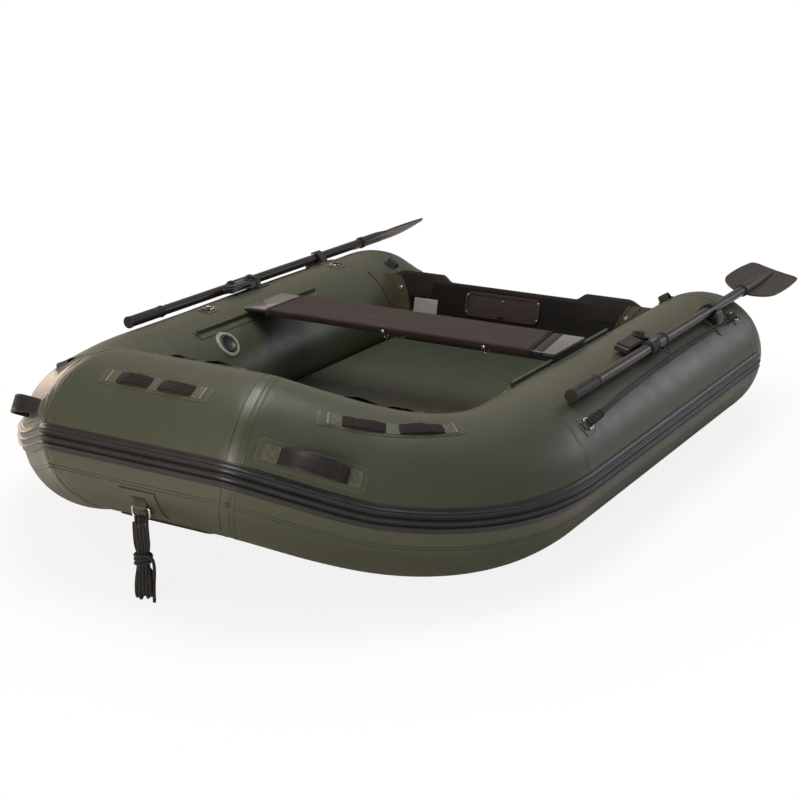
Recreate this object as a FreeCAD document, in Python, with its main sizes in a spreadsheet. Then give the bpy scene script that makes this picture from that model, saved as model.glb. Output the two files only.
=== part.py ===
"""Inflatable dinghy with a drop-stitch floor, a plywood transom, a sliding seat and two oars.

Axes: +X points to the bow, +Y to port, +Z up. The origin lies under the middle of the object on
the plane it rests on. The tube hull is symmetric about the XZ plane, so most pieces are built on
the port side and mirrored. Lengths are in millimetres, angles in degrees.
"""
import FreeCAD, Part
import math
import os

V = FreeCAD.Vector
ORIGIN = V(0, 0, 0)

SIZES = [
    # tubes
    ("tube_radius", 196, "outer radius of the buoyancy tube"),
    ("tube_offset", 609, "side tube axis from the centre line"),
    ("side_aft", 807, "aft end of the straight side tube, behind the origin"),
    ("bend_start", 451.2, "where the side tube starts to bend to the bow"),
    ("bend_radius", 550, "plan radius of the bow bend"),
    ("bow_turn", 51.7, "plan turn of the bow bend"),
    ("bow_half_width", 200, "mitre corner of the bow tube from the centre line"),
    ("sheer", 146, "rise of the bow tube above the side tubes"),
    ("sheer_delay", 100, "level length of the bend before the sheer starts"),
    ("sheer_straight", 130, "straight rising length before the mitre"),
    ("cone_length", 318, "length of a stern cone"),
    ("cone_end_radius", 78, "radius of a stern cone's small end"),
    ("cone_end_round", 18, "rounding of the small end"),
    ("cone_shoulder", 120, "length of the curved shoulder of a stern cone"),
    ("skin_gap", 0.4, "glue gap between a glued-on piece and the tube"),
    # strake and wear strips
    ("strake_low", -11, "lower edge of the rub strake from the tube axis"),
    ("strake_width", 53, "height of the rub strake"),
    ("strake_base", 5, "thickness of the strake between its ribs"),
    ("strake_rib", 13, "thickness of the strake at a rib"),
    ("wear_thickness", 3, "thickness of the wear strips under the hull"),
    ("wear_width", 70, "width of a wear strip"),
    ("wear_aft", 700, "aft end of a wear strip, behind the origin"),
    ("wear_fore", 430, "length of a wear strip along the bend"),
    # floor and bottom
    ("bottom_height", 84, "underside of the flat hull bottom"),
    ("bottom_thickness", 3, "thickness of the hull bottom"),
    ("bottom_rise_start", 790, "where the hull bottom starts to rise"),
    ("bottom_rise_end", 968, "where the hull bottom meets the bow tube"),
    ("bottom_rise", 66, "rise of the hull bottom at the bow"),
    ("floor_thickness", 70, "thickness of the drop-stitch floor"),
    ("floor_aft", 626, "aft end of the floor, behind the origin"),
    ("floor_fore", 770, "fore end of the floor"),
    ("floor_gap", 3, "gap between the floor's edge and the tube's widest line"),
    ("floor_edge", 12, "rounding of the floor's edges"),
    # transom
    ("transom_foot", 615, "transom front face at the resting plane, behind the origin"),
    ("transom_rake", 13.5, "lean of the transom"),
    ("board_thickness", 24, "thickness of the transom board"),
    ("board_low", 64, "lower edge of the board, along the board"),
    ("cutout_half", 242, "half width of the motor cut-out at its floor"),
    ("cutout_height", 364, "floor of the motor cut-out, along the board"),
    ("shoulder_half", 277, "inner end of a shoulder from the centre line"),
    ("shoulder_height", 387, "top of a shoulder, along the board"),
    ("shoulder_end", 425, "outer end of a shoulder from the centre line"),
    ("board_gap", 14, "distance from the tube to the board's side edge"),
    ("holder_reach", 50, "how far a transom holder stands from the tube"),
    ("holder_wall", 7, "wall of a transom holder on each face of the board"),
    ("holder_foot", 34, "glued foot of a holder in front of and behind the board"),
    ("bolt_radius", 4, "radius of a transom bolt"),
    ("bolt_head", 8.5, "radius of a transom bolt's head"),
    ("plate_width", 272, "width of the inner clamp plate"),
    ("plate_height", 82, "height of the inner clamp plate"),
    ("plate_middle", 302, "middle of the inner clamp plate, along the board"),
    ("plate_shift", -24, "inner clamp plate's middle from the centre line"),
    ("plate_thickness", 4, "thickness of the clamp plates"),
    ("plate_rim", 3, "height of the inner plate's rim"),
    ("plate_corner", 22, "corner radius of the clamp plates"),
    ("outer_plate_width", 320, "width of the outer motor plate"),
    ("outer_plate_height", 150, "height of the outer motor plate"),
    ("outer_plate_middle", 276, "middle of the outer motor plate, along the board"),
    ("drain_radius", 10, "bore of the drain fitting"),
    ("drain_height", 112, "middle of the drain, along the board"),
    ("drain_side", 300, "middle of the drain from the centre line, to port"),
    # valves
    ("valve_radius", 27, "radius of a valve body"),
    ("valve_place", 235, "place of the valves along the side tubes"),
    ("valve_angle", 138, "place of the valves round the tube"),
    ("valve_depth", 18, "depth of a valve body in the tube"),
    ("valve_patch", 37.5, "outer radius of the patch round a valve"),
    ("cap_radius", 20, "radius of a valve cap"),
    # seat
    ("seat_width", 200, "fore-and-aft width of the seat"),
    ("seat_half", 518, "half length of the seat plank"),
    ("seat_thickness", 13, "thickness of the seat plank"),
    ("seat_top", 401, "height of the seat's top"),
    ("seat_fore", 73, "front edge of the seat"),
    ("cover_half", 437, "half length of the seat's fabric cover"),
    ("cover_wall", 3, "thickness of the seat's fabric cover"),
    ("bracket_width", 34, "width of a seat end bracket"),
    ("bracket_height", 12, "height of a seat end bracket"),
    ("bead_radius", 4, "radius of the seat track's bead"),
    ("bead_side", 509, "seat track bead from the centre line"),
    ("web_thickness", 3, "web between the track's foot and its bead"),
    ("track_aft", 301, "aft end of a seat track, behind the origin"),
    ("track_fore", 321, "fore end of a seat track"),
    ("track_half_angle", 5.2, "half width of the track's glued foot, as an angle"),
    ("slide_gap", 0.4, "play between the bead and the seat bracket"),
    # oars
    ("oar_side", 710, "oar axis from the centre line"),
    ("oar_height", 397, "oar axis above the resting plane"),
    ("shaft_radius", 15, "radius of an oar shaft"),
    ("grip_radius", 16.5, "radius of an oar grip"),
    ("handle_end", 388, "handle end of a stowed oar"),
    ("grip_length", 155, "length of an oar grip"),
    ("sleeve_place", -174, "middle of an oar sleeve"),
    ("sleeve_length", 92, "length of an oar sleeve"),
    ("sleeve_radius", 19, "radius of an oar sleeve"),
    ("collar_radius", 21, "radius of the stop collars beside the sleeve"),
    ("collar_length", 8, "length of a stop collar"),
    ("running_gap", 0.08, "radial play of a shaft that turns in a bore"),
    ("press_gap", 0.02, "radial gap of a piece that is glued on a shaft"),
    ("blade_root", -916, "root of a stowed blade"),
    ("blade_length", 333.6, "length of a blade"),
    ("blade_half", 89, "half width of a blade"),
    ("blade_thickness", 5, "thickness of a blade"),
    ("socket_radius", 18, "radius of the blade's socket"),
    ("socket_length", 285, "length of the blade's socket rib"),
    ("socket_hold", 60, "length of shaft held in the blade's socket"),
    ("port_roll", 13, "roll of the stowed port blade, outer edge down"),
    ("starboard_roll", 31, "roll of the stowed starboard blade, outer edge down"),
    # rowlocks and clips
    ("pivot_side", 658, "rowlock pivot from the centre line"),
    ("boss_radius", 25, "radius of the rowlock's round boss"),
    ("boss_height", 9, "height of the rowlock's boss above the tube"),
    ("stem_radius", 8, "radius of the turret's stem"),
    ("turret_height", 23, "height of the turret"),
    ("arm_length", 132, "length of the turret's arm"),
    ("arm_half", 22, "half width of the turret's arm"),
    ("trunnion_radius", 5, "radius of the sleeve's trunnion"),
    ("clip_place", -620, "middle of an oar clip"),
    ("clip_length", 34, "length of an oar clip"),
    ("clip_wall", 6, "wall of an oar clip"),
    ("clip_gap", 1.2, "play between the shaft and its clip"),
    # bow fittings
    ("webbing_half_angle", 5.1, "half width of the strap webbing, as an angle"),
    ("strap_outer_angle", 60, "outer strap rows round the tube"),
    ("strap_inner_angle", 117, "inner strap rows round the tube"),
    ("patch_thickness", 1.2, "thickness of a glued patch"),
    ("pad_thickness", 1.4, "thickness of a sewn pad on a patch"),
    ("webbing_thickness", 2, "thickness of the strap webbing"),
    ("webbing_lift", 5, "rise of a strap loop at its middle"),
    ("handle_angle", 25, "carry handles round the tube"),
    ("handle_lift", 44, "rise of a carry handle at its middle"),
    ("handle_thickness", 7, "thickness of a carry handle's grip"),
    ("tow_angle", -31.6, "tow ring round the bow tube"),
    ("tow_width", 56, "outer width of the tow ring"),
    ("tow_drop", 38, "outer height of the tow ring"),
    ("wire_radius", 2.6, "half thickness of the ring stock"),
    ("cord_radius", 3, "radius of the lifeline cord"),
    ("lash_radius", 8, "radius of a lashing on a lifeline"),
    ("rope_radius", 4, "radius of the painter rope"),
    ("hank_width", 46, "width of the painter's hank"),
    ("hank_depth", 34, "depth of the painter's hank"),
    ("hank_low", 10, "lower end of the painter's hank"),
]

doc = FreeCAD.newDocument("dinghy")
sheet = doc.addObject("Spreadsheet::Sheet", "Sizes")
for row, (alias, value, words) in enumerate(SIZES, start=1):
    sheet.set(f"A{row}", words)
    sheet.set(f"B{row}", str(value))
    sheet.setAlias(f"B{row}", alias)
doc.recompute()
size = {alias: float(sheet.get(alias)) for alias, value, words in SIZES}


class Sizes:
    """The sheet's values by name."""

    def __getattr__(self, name):
        return size[name]


S = Sizes()
R = S.tube_radius
TUBE_Z = S.wear_thickness + S.skin_gap + R
SKIN = R + S.skin_gap
PARTS = {}


# ---------------------------------------------------------------- helpers
def keep(label, thing):
    """Registers a document object as the sub-part that its label names."""
    thing.Label = label
    PARTS[label] = thing
    return thing


def feature(label, shape, placement=None):
    """A sub-part whose form neither PartDesign nor a primitive gives."""
    thing = doc.addObject("Part::Feature", label)
    thing.Shape = shape
    if placement is not None:
        thing.Placement = placement
    return keep(label, thing)


def bind(thing, **cells):
    """Ties properties to expressions over the sheet's cells."""
    for name, expression in cells.items():
        thing.setExpression(name, expression)
    return thing


def mirrored(shape):
    return shape.mirror(ORIGIN, V(0, 1, 0))


def both_sides(name, shape):
    """The port piece and its mirror image as two sub-parts."""
    feature("port_" + name, shape)
    feature("starboard_" + name, mirrored(shape))


def fused(shapes):
    whole = shapes[0]
    for other in shapes[1:]:
        whole = whole.fuse(other)
    return whole.removeSplitter()


def origin_plane(body, role):
    return [plane for plane in body.Origin.OriginFeatures if plane.Role == role][0]


def new_body(name):
    return doc.addObject("PartDesign::Body", name)


def add_sketch(body, name, geometry, role="XY_Plane", offset=0.0):
    """A sketch on one of the body's own origin planes."""
    sketch = body.newObject("Sketcher::SketchObject", name)
    sketch.AttachmentSupport = [(origin_plane(body, role), "")]
    sketch.MapMode = "FlatFace"
    if offset:
        sketch.AttachmentOffset = FreeCAD.Placement(V(0, 0, offset), FreeCAD.Rotation())
    sketch.addGeometry(geometry, False)
    return sketch


def outline(points):
    """Lines through the points; a triple (start, middle, end) makes an arc."""
    edges = []
    for item in points:
        if len(item) == 2:
            edges.append(Part.LineSegment(item[0], item[1]))
        else:
            edges.append(Part.Arc(item[0], item[1], item[2]))
    return edges


def polygon(points):
    """Closed polygon as sketch lines."""
    return outline([(points[k - 1], points[k]) for k in range(len(points))])


def rounded_rectangle(width, height, radius, middle=ORIGIN):
    """Closed outline of a rectangle with round corners."""
    edges = []
    half_w, half_h = width / 2, height / 2
    corners = [(half_w, half_h, 0), (-half_w, half_h, 90), (-half_w, -half_h, 180), (half_w, -half_h, 270)]
    ends = []
    for x, y, angle in corners:
        centre = middle + V(x - math.copysign(radius, x), y - math.copysign(radius, y), 0)
        arc = [centre + V(radius * math.cos(math.radians(angle + turn)),
                          radius * math.sin(math.radians(angle + turn)), 0) for turn in (0, 45, 90)]
        edges.append(Part.Arc(*arc))
        ends.append((arc[0], arc[2]))
    for k in range(4):
        edges.append(Part.LineSegment(ends[k - 1][1], ends[k][0]))
    return edges


def pad(body, sketch, length, reverse=False):
    piece = body.newObject("PartDesign::Pad", sketch.Name + "Pad")
    piece.Profile = sketch
    piece.setExpression("Length", length)
    piece.Reversed = reverse
    return piece


def pocket(body, sketch, length, reverse=False):
    piece = body.newObject("PartDesign::Pocket", sketch.Name + "Pocket")
    piece.Profile = sketch
    piece.setExpression("Length", length)
    piece.Reversed = reverse
    return piece


def revolve(body, sketch, axis="H_Axis"):
    piece = body.newObject("PartDesign::Revolution", sketch.Name + "Turn")
    piece.Profile = sketch
    piece.ReferenceAxis = (sketch, [axis])
    piece.Angle = 360
    return piece


def turned(name, profile):
    """A body turned about its own X axis from a closed profile."""
    body = new_body(name)
    sketch = add_sketch(body, name + "Profile", profile)
    revolve(body, sketch)
    return body


def frame_placement(origin, x_axis, y_axis):
    z_axis = x_axis.cross(y_axis)
    return FreeCAD.Placement(origin, FreeCAD.Rotation(x_axis, y_axis, z_axis, "XYZ"))


# ---------------------------------------------------------------- hull line
BEND = math.radians(S.bow_turn)
BEND_LENGTH = S.bend_radius * BEND
BEND_END_Y = S.tube_offset - S.bend_radius * (1 - math.cos(BEND))
DIAGONAL = (BEND_END_Y - S.bow_half_width) / math.sin(BEND)
BOW_RUN = BEND_LENGTH + DIAGONAL
RISE_FROM = S.sheer_delay
RISE_TO = BOW_RUN - S.sheer_straight
SLOPE = S.sheer / ((RISE_TO - RISE_FROM) / 2 + S.sheer_straight)


def rise_and_slope(run):
    """Height above the side tubes and its slope, at a plan run from the bend's start."""
    if run <= RISE_FROM:
        return 0.0, 0.0
    if run <= RISE_TO:
        part = (run - RISE_FROM) / (RISE_TO - RISE_FROM)
        return SLOPE * (run - RISE_FROM) * part / 2, SLOPE * part
    return S.sheer + SLOPE * (run - BOW_RUN), SLOPE


class Station:
    """A place on a tube: the axis point, the outward, upward and forward directions."""

    def __init__(self, centre, out, up, along):
        self.centre, self.out, self.up, self.along = centre, out, up, along

    def direction(self, angle):
        turn = math.radians(angle)
        return self.out * math.cos(turn) + self.up * math.sin(turn)

    def point(self, radius, angle):
        return self.centre + self.direction(angle) * radius


def port_station(run):
    """Station of the port tube; run is the plan length from the bend's start, negative aft."""
    if run <= 0:
        plan, heading = V(S.bend_start + run, S.tube_offset, 0), 0.0
    elif run <= BEND_LENGTH:
        heading = run / S.bend_radius
        plan = V(S.bend_start + S.bend_radius * math.sin(heading),
                 S.tube_offset - S.bend_radius * (1 - math.cos(heading)), 0)
    else:
        heading = BEND
        plan = V(S.bend_start + S.bend_radius * math.sin(BEND) + (run - BEND_LENGTH) * math.cos(BEND),
                 BEND_END_Y - (run - BEND_LENGTH) * math.sin(BEND), 0)
    rise, slope = rise_and_slope(run)
    along = V(math.cos(heading), -math.sin(heading), slope).normalize()
    out = V(math.sin(heading), math.cos(heading), 0)
    return Station(plan + V(0, 0, TUBE_Z + rise), out, along.cross(out), along)


CORNER = port_station(BOW_RUN)
BOW_X = CORNER.centre.x
BOW_Z = CORNER.centre.z
MITRE = (CORNER.along + V(0, -1, 0)).normalize()


def bow_station(side):
    """Station of the centre bow tube at a distance to port of the centre line."""
    return Station(V(BOW_X, side, BOW_Z), V(1, 0, 0), V(0, 0, 1), V(0, -1, 0))


def beyond_mitre(sign):
    """A block that covers everything on one side of the port mitre plane."""
    return Part.makeCylinder(3 * R, 3 * R, CORNER.centre, MITRE * sign)


def circle_wire(station, radius):
    circle = Part.Circle(station.centre, station.along, radius)
    return Part.Wire(circle.toShape())


def sector_wire(station, inner, outer, low, high):
    """Ring sector between two radii and two angles, as a closed wire."""
    mid = (low + high) / 2
    edges = [
        Part.Arc(station.point(inner, low), station.point(inner, mid), station.point(inner, high)),
        Part.LineSegment(station.point(inner, high), station.point(outer, high)),
        Part.Arc(station.point(outer, high), station.point(outer, mid), station.point(outer, low)),
        Part.LineSegment(station.point(outer, low), station.point(inner, low)),
    ]
    return Part.Wire([edge.toShape() for edge in edges])


def skin(stations, inner, outer, low, high):
    """A piece that lies on the tube, lofted through stations."""
    wires = [sector_wire(station, inner, outer, low, high) for station in stations]
    return Part.makeLoft(wires, True, len(wires) == 2)


def spread(start, end, count):
    return [start + (end - start) * k / (count - 1) for k in range(count)]


BEND_RUNS = [-90, -45] + spread(0, BOW_RUN, 17) + [BOW_RUN + R / 2]
BEND_STATIONS = [port_station(run) for run in BEND_RUNS]


def bend_loft(section):
    """Lofts a section along the bend, and trims it square at the side tube and at the mitre."""
    piece = Part.makeLoft([section(station) for station in BEND_STATIONS], True, False)
    piece = piece.cut(Part.makeBox(6 * R, 6 * R, 6 * R, V(S.bend_start - 6 * R, 0, -2 * R)))
    return piece.cut(beyond_mitre(1))


# ---------------------------------------------------------------- tubes
def valve_station(side):
    """Station of a valve; side is 1 to port and -1 to starboard."""
    station = port_station(S.valve_place - S.bend_start)
    if side > 0:
        return station
    flip = V(1, -1, 1)
    centre = V(station.centre.x, -station.centre.y, station.centre.z)
    out = V(station.out.x, -station.out.y, station.out.z)
    return Station(centre, out, station.up, station.along)


def make_side_tube(side, name):
    """Straight side tube with a pocket for its valve body."""
    tube = doc.addObject("Part::Cylinder", name + "Roll")
    bind(tube, Radius="Sizes.tube_radius", Height="Sizes.side_aft + Sizes.bend_start")
    tube.Placement = FreeCAD.Placement(V(-S.side_aft, side * S.tube_offset, TUBE_Z),
                                       FreeCAD.Rotation(V(0, 1, 0), 90))
    station = valve_station(side)
    axis = station.direction(S.valve_angle)
    hole = doc.addObject("Part::Cylinder", name + "ValveHole")
    bind(hole, Radius="Sizes.valve_radius + Sizes.skin_gap", Height="Sizes.valve_depth * 2")
    hole.Placement = FreeCAD.Placement(station.centre + axis * (R - S.valve_depth - S.skin_gap),
                                       FreeCAD.Rotation(V(0, 0, 1), axis))
    cut = doc.addObject("Part::Cut", name)
    cut.Base = tube
    cut.Tool = hole
    return keep(name, cut)


def make_bow_tubes():
    """The bent quarter tubes and the straight bow tube between two mitred joints."""
    both_sides("bow_tube", bend_loft(lambda station: circle_wire(station, R)))
    reach = S.bow_half_width + R
    centre = Part.makeCylinder(R, 2 * reach, V(BOW_X, -reach, BOW_Z), V(0, 1, 0))
    centre = centre.cut(beyond_mitre(-1)).cut(mirrored(beyond_mitre(-1)))
    feature("bow_tube", centre)


def make_stern_cone(side, name):
    """Stern cone: a curved shoulder, a straight taper and a rounded small end."""
    length, small, rounding = S.cone_length, S.cone_end_radius, S.cone_end_round
    shoulder = S.cone_shoulder
    fall = (R - small) * shoulder / (2 * (length - rounding) - shoulder)
    top = V(0, R, 0)
    knee = V(-shoulder, R - fall, 0)
    middle = V(-shoulder / 2, R - fall * 0.26, 0)
    low = V(-(length - rounding), small, 0)
    bend = V(-length + rounding * 0.29, small - rounding * 0.29, 0)
    end = V(-length, small - rounding, 0)
    profile = outline([(ORIGIN, top), (top, middle, knee), (knee, low), (low, bend, end),
                       (end, V(-length, 0, 0)), (V(-length, 0, 0), ORIGIN)])
    body = turned(name, profile)
    body.Placement = FreeCAD.Placement(V(-S.side_aft, side * S.tube_offset, TUBE_Z), FreeCAD.Rotation())
    return keep(name, body)


# ---------------------------------------------------------------- strakes and wear strips
def strake_wire(station):
    """Section of the rub strake: a concave back and three ribs above a thin bead."""
    low = S.strake_low
    high = low + S.strake_width
    pitch = S.strake_width / 4

    def place(height, proud):
        reach = math.sqrt(R * R - height * height) + proud
        return station.centre + station.out * reach + station.up * height

    face = []
    for k in range(4):
        top = high - k * pitch
        crest = S.strake_rib if k < 3 else (S.strake_rib + S.strake_base) / 2
        face += [place(top - 0.5 * (k == 0), S.strake_base), place(top - pitch * 0.2, crest)]
        face += [place(top - pitch * 0.7, crest), place(top - pitch * 0.85, S.strake_base)]
    face.append(place(low, S.strake_base))
    back = [place(height, S.skin_gap) for height in (low, (low + high) / 2, high)]
    edges = [Part.LineSegment(a, b) for a, b in zip(face[:-1], face[1:])]
    edges += [Part.LineSegment(face[-1], back[0]), Part.Arc(*back), Part.LineSegment(back[2], face[0])]
    return Part.Wire([edge.toShape() for edge in edges])


def make_strakes():
    """Rub strake along each side and round the bow."""
    straight = Part.makeLoft([strake_wire(port_station(-S.side_aft - S.bend_start)),
                              strake_wire(port_station(0))], True, True)
    both_sides("rub_strake", straight.fuse(bend_loft(strake_wire)))
    reach = S.bow_half_width + R
    centre = Part.makeLoft([strake_wire(bow_station(reach)), strake_wire(bow_station(-reach))], True, True)
    centre = centre.cut(beyond_mitre(-1)).cut(mirrored(beyond_mitre(-1)))
    feature("bow_rub_strake", centre)


def make_wear_strips():
    """Strips under both side tubes, and one under the bow tube."""
    half = math.degrees(S.wear_width / 2 / R)
    outer = SKIN + S.wear_thickness
    straight = skin([port_station(-S.wear_aft - S.bend_start), port_station(0)], SKIN, outer,
                    -90 - half, -90 + half)
    bend = skin([port_station(run) for run in spread(0, S.wear_fore, 6)], SKIN, outer,
                -90 - half, -90 + half)
    port = straight.fuse(bend)
    bow = skin([bow_station(S.bow_half_width * 0.6), bow_station(-S.bow_half_width * 0.6)], SKIN, outer,
               -85, -58)
    feature("wear_strips", Part.makeCompound([port, mirrored(port), bow]))


# ---------------------------------------------------------------- bottom and floor
def tube_clearance():
    """Everything that the tubes fill, grown by the glue gap."""
    grow = SKIN
    pieces = [Part.makeCylinder(grow, S.side_aft + S.bend_start + 1, V(-S.side_aft, S.tube_offset, TUBE_Z),
                                V(1, 0, 0))]
    pieces.append(Part.makeLoft([circle_wire(station, grow) for station in BEND_STATIONS], True, False))
    pieces += [mirrored(piece) for piece in pieces]
    reach = S.bow_half_width
    pieces.append(Part.makeCylinder(grow, 2 * reach, V(BOW_X, -reach, BOW_Z), V(0, 1, 0)))
    return pieces


def make_bottom():
    """Hull bottom: a flat skin that curves up to the bow tube."""
    low, high = S.bottom_height, S.bottom_height + S.bottom_rise
    aft = -S.transom_foot - low * math.tan(math.radians(S.transom_rake)) + 1
    start, end = S.bottom_rise_start, S.bottom_rise_end
    under = [V(aft, 0, low), V(start, 0, low), V((start + end) / 2, 0, low + S.bottom_rise * 0.3),
             V(end, 0, high)]
    lift = V(0, 0, S.bottom_thickness)
    edges = [Part.LineSegment(under[0], under[1]).toShape(), Part.Arc(*under[1:]).toShape(),
             Part.LineSegment(under[3], under[3] + lift).toShape(),
             Part.Arc(under[3] + lift, under[2] + lift, under[1] + lift).toShape(),
             Part.LineSegment(under[1] + lift, under[0] + lift).toShape(),
             Part.LineSegment(under[0] + lift, under[0]).toShape()]
    half = S.tube_offset - R * 0.3
    sheet_face = Part.Face(Part.Wire(edges))
    sheet_face.translate(V(0, -half, 0))
    sheet = sheet_face.extrude(V(0, 2 * half, 0))
    for piece in tube_clearance():
        sheet = sheet.cut(piece)
    inside = max(sheet.Solids, key=lambda solid: solid.Volume)
    feature("hull_bottom", inside)


def make_floor():
    """Drop-stitch floor: flat, with rounded edges, shaped to the inside of the bow."""
    gap = R + S.floor_gap
    side = S.tube_offset - gap
    inner = S.bend_radius - gap
    centre = V(S.bend_start, S.tube_offset - S.bend_radius, 0)
    reach = S.floor_fore - S.bend_start
    end_angle = math.degrees(math.asin(min(0.98, reach / inner)))

    def on_arc(angle, sign):
        return V(centre.x + inner * math.sin(math.radians(angle)),
                 sign * (centre.y + inner * math.cos(math.radians(angle))), 0)

    aft = -S.floor_aft
    port = [V(aft, side, 0), V(S.bend_start, side, 0), on_arc(end_angle / 2, 1), on_arc(end_angle, 1)]
    star = [V(point.x, -point.y, 0) for point in port]
    edges = outline([(port[0], port[1]), (port[1], port[2], port[3]), (port[3], star[3]),
                     (star[3], star[2], star[1]), (star[1], star[0]), (star[0], port[0])])
    body = new_body("air_floor")
    sketch = add_sketch(body, "floorOutline", edges)
    slab = pad(body, sketch, "Sizes.floor_thickness")
    doc.recompute()
    flat = [f"Edge{k + 1}" for k, edge in enumerate(slab.Shape.Edges)
            if abs(edge.BoundBox.ZLength) < 1e-6]
    rim = body.newObject("PartDesign::Fillet", "floorEdge")
    rim.Base = (slab, flat)
    rim.setExpression("Radius", "Sizes.floor_edge")
    body.Tip = rim
    height = S.bottom_height + S.bottom_thickness + S.skin_gap
    body.Placement = FreeCAD.Placement(V(0, 0, height), FreeCAD.Rotation())
    keep("air_floor", body)


# ---------------------------------------------------------------- transom
RAKE = math.radians(S.transom_rake)
BOARD_X = V(0, 1, 0)
BOARD_Y = V(-math.sin(RAKE), 0, math.cos(RAKE))
BOARD_Z = BOARD_X.cross(BOARD_Y)
BOARD = frame_placement(V(-S.transom_foot, 0, 0), BOARD_X, BOARD_Y)
# the tube axis where it crosses the board's front face, along the board
AXIS_ON_BOARD = TUBE_Z / math.cos(RAKE)


def board_edge(angle, gap):
    """A point at a distance from the tube, in the board's plane."""
    turn = math.radians(angle)
    return V(S.tube_offset - (R + gap) * math.cos(turn),
             AXIS_ON_BOARD + (R + gap) / math.cos(RAKE) * math.sin(turn), 0)


BOLT_PLACES = [board_edge(angle, S.board_gap + 19) for angle in (30, -12)]


def make_transom_board():
    """Raked plywood board with a motor cut-out and side edges that follow the tubes."""
    top = math.degrees(math.asin((S.cutout_height - AXIS_ON_BOARD) * math.cos(RAKE) / (R + S.board_gap)))
    bottom = math.degrees(math.asin((S.board_low - AXIS_ON_BOARD) * math.cos(RAKE) / (R + S.board_gap)))
    upper, middle, lower = [board_edge(angle, S.board_gap) for angle in (top, (top + bottom) / 2, bottom)]
    port = [V(S.cutout_half, S.cutout_height, 0), V(S.shoulder_half, S.shoulder_height, 0),
            V(S.shoulder_end, S.shoulder_height, 0), upper]
    flip = [V(-point.x, point.y, 0) for point in port]
    star = [V(-point.x, point.y, 0) for point in (upper, middle, lower)]
    edges = outline([(port[0], port[1]), (port[1], port[2]), (port[2], port[3]), (upper, middle, lower),
                     (lower, star[2]), (star[2], star[1], star[0]), (flip[3], flip[2]),
                     (flip[2], flip[1]), (flip[1], flip[0]), (flip[0], port[0])])
    body = new_body("transom_board")
    sketch = add_sketch(body, "boardOutline", edges)
    pad(body, sketch, "Sizes.board_thickness", reverse=True)
    holes = [Part.Circle(V(sign * place.x, place.y, 0), V(0, 0, 1), S.bolt_radius + S.running_gap)
             for place in BOLT_PLACES for sign in (1, -1)]
    holes.append(Part.Circle(V(S.drain_side, S.drain_height, 0), V(0, 0, 1), S.drain_radius + 3.2))
    drill = add_sketch(body, "boardHoles", holes)
    pocket(body, drill, "Sizes.board_thickness + 1", reverse=False)
    body.Placement = BOARD
    return keep("transom_board", body)


def make_transom_holders():
    """Channels glued to the tubes that grip the board's side edges, with ribs on their faces."""
    wall, reach = S.holder_wall, S.holder_reach
    thick = S.board_thickness + 2 * wall
    arc = [board_edge(angle, reach) for angle in (50, 0, -43)]
    back = [board_edge(angle, -R * 0.25) for angle in (-43, 0, 50)]
    edges = [Part.Arc(*arc), Part.LineSegment(arc[2], back[0]), Part.Arc(*back),
             Part.LineSegment(back[2], arc[0])]
    face = Part.Face(Part.Wire([edge.toShape() for edge in edges]))
    channel = face.extrude(V(0, 0, thick))
    channel.translate(V(0, 0, wall - thick))
    for gap in (S.board_gap + 4, reach - 6):
        rib = [board_edge(angle, gap) for angle in (46, 0, -40)]
        outer = [board_edge(angle, gap + 4) for angle in (-40, 0, 46)]
        line = [Part.Arc(*rib), Part.LineSegment(rib[2], outer[0]), Part.Arc(*outer),
                Part.LineSegment(outer[2], rib[0])]
        strip = Part.Face(Part.Wire([edge.toShape() for edge in line])).extrude(V(0, 0, 3))
        strip.translate(V(0, 0, wall))
        channel = channel.fuse(strip)
    channel.Placement = BOARD
    tilt = (R * math.tan(RAKE))
    middle_x = -S.transom_foot - TUBE_Z * math.tan(RAKE) - S.board_thickness / 2
    foot_half = S.holder_foot + S.board_thickness / 2
    runs = [middle_x - foot_half - S.bend_start, middle_x + foot_half - S.bend_start]
    foot = skin([port_station(runs[0]), port_station(runs[1])], SKIN, SKIN + 3, 120, 222)
    upper = skin([port_station(runs[0] - tilt * 0.6), port_station(runs[1] - tilt * 0.6)], SKIN, SKIN + 3,
                 100, 140)
    holder = channel.fuse(foot).fuse(upper)
    tube = Part.makeCylinder(SKIN, 2 * S.side_aft, V(-2 * S.side_aft, S.tube_offset, TUBE_Z), V(1, 0, 0))
    holder = holder.cut(tube)
    slot = PARTS["transom_board"].Shape.copy()
    drill = [Part.makeCylinder(S.bolt_radius + S.running_gap, 4 * thick, place + V(0, 0, -2 * thick))
             for place in BOLT_PLACES]
    for tool in drill:
        tool.Placement = BOARD.multiply(tool.Placement)
    solid_board = slot.fuse(drill[0]).fuse(drill[1])
    holder = holder.cut(solid_board)
    low = S.bottom_height + S.bottom_thickness + 2 * S.skin_gap
    holder = holder.cut(Part.makeBox(4 * R, 4 * R, low, V(-S.side_aft - R, S.tube_offset - 2 * R, 0)))
    holder = max(holder.Solids, key=lambda solid: solid.Volume)
    both_sides("transom_holder", holder)


def make_transom_bolts():
    """Dome-headed bolts through holder and board, each with its nut."""
    front = S.holder_wall
    back = -(S.board_thickness + S.holder_wall)
    bolts = []
    for place in BOLT_PLACES:
        for sign in (1, -1):
            base = V(sign * place.x, place.y, 0)
            shank = Part.makeCylinder(S.bolt_radius, front - back + 9, base + V(0, 0, back - 9))
            head = Part.makeCone(S.bolt_head, S.bolt_head * 0.6, 4, base + V(0, 0, front))
            nut = Part.makeCylinder(S.bolt_head * 0.85, 6, base + V(0, 0, back - 6))
            bolts.append(shank.fuse(head).fuse(nut))
    whole = Part.makeCompound(bolts)
    feature("transom_bolts", whole, BOARD)


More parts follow.
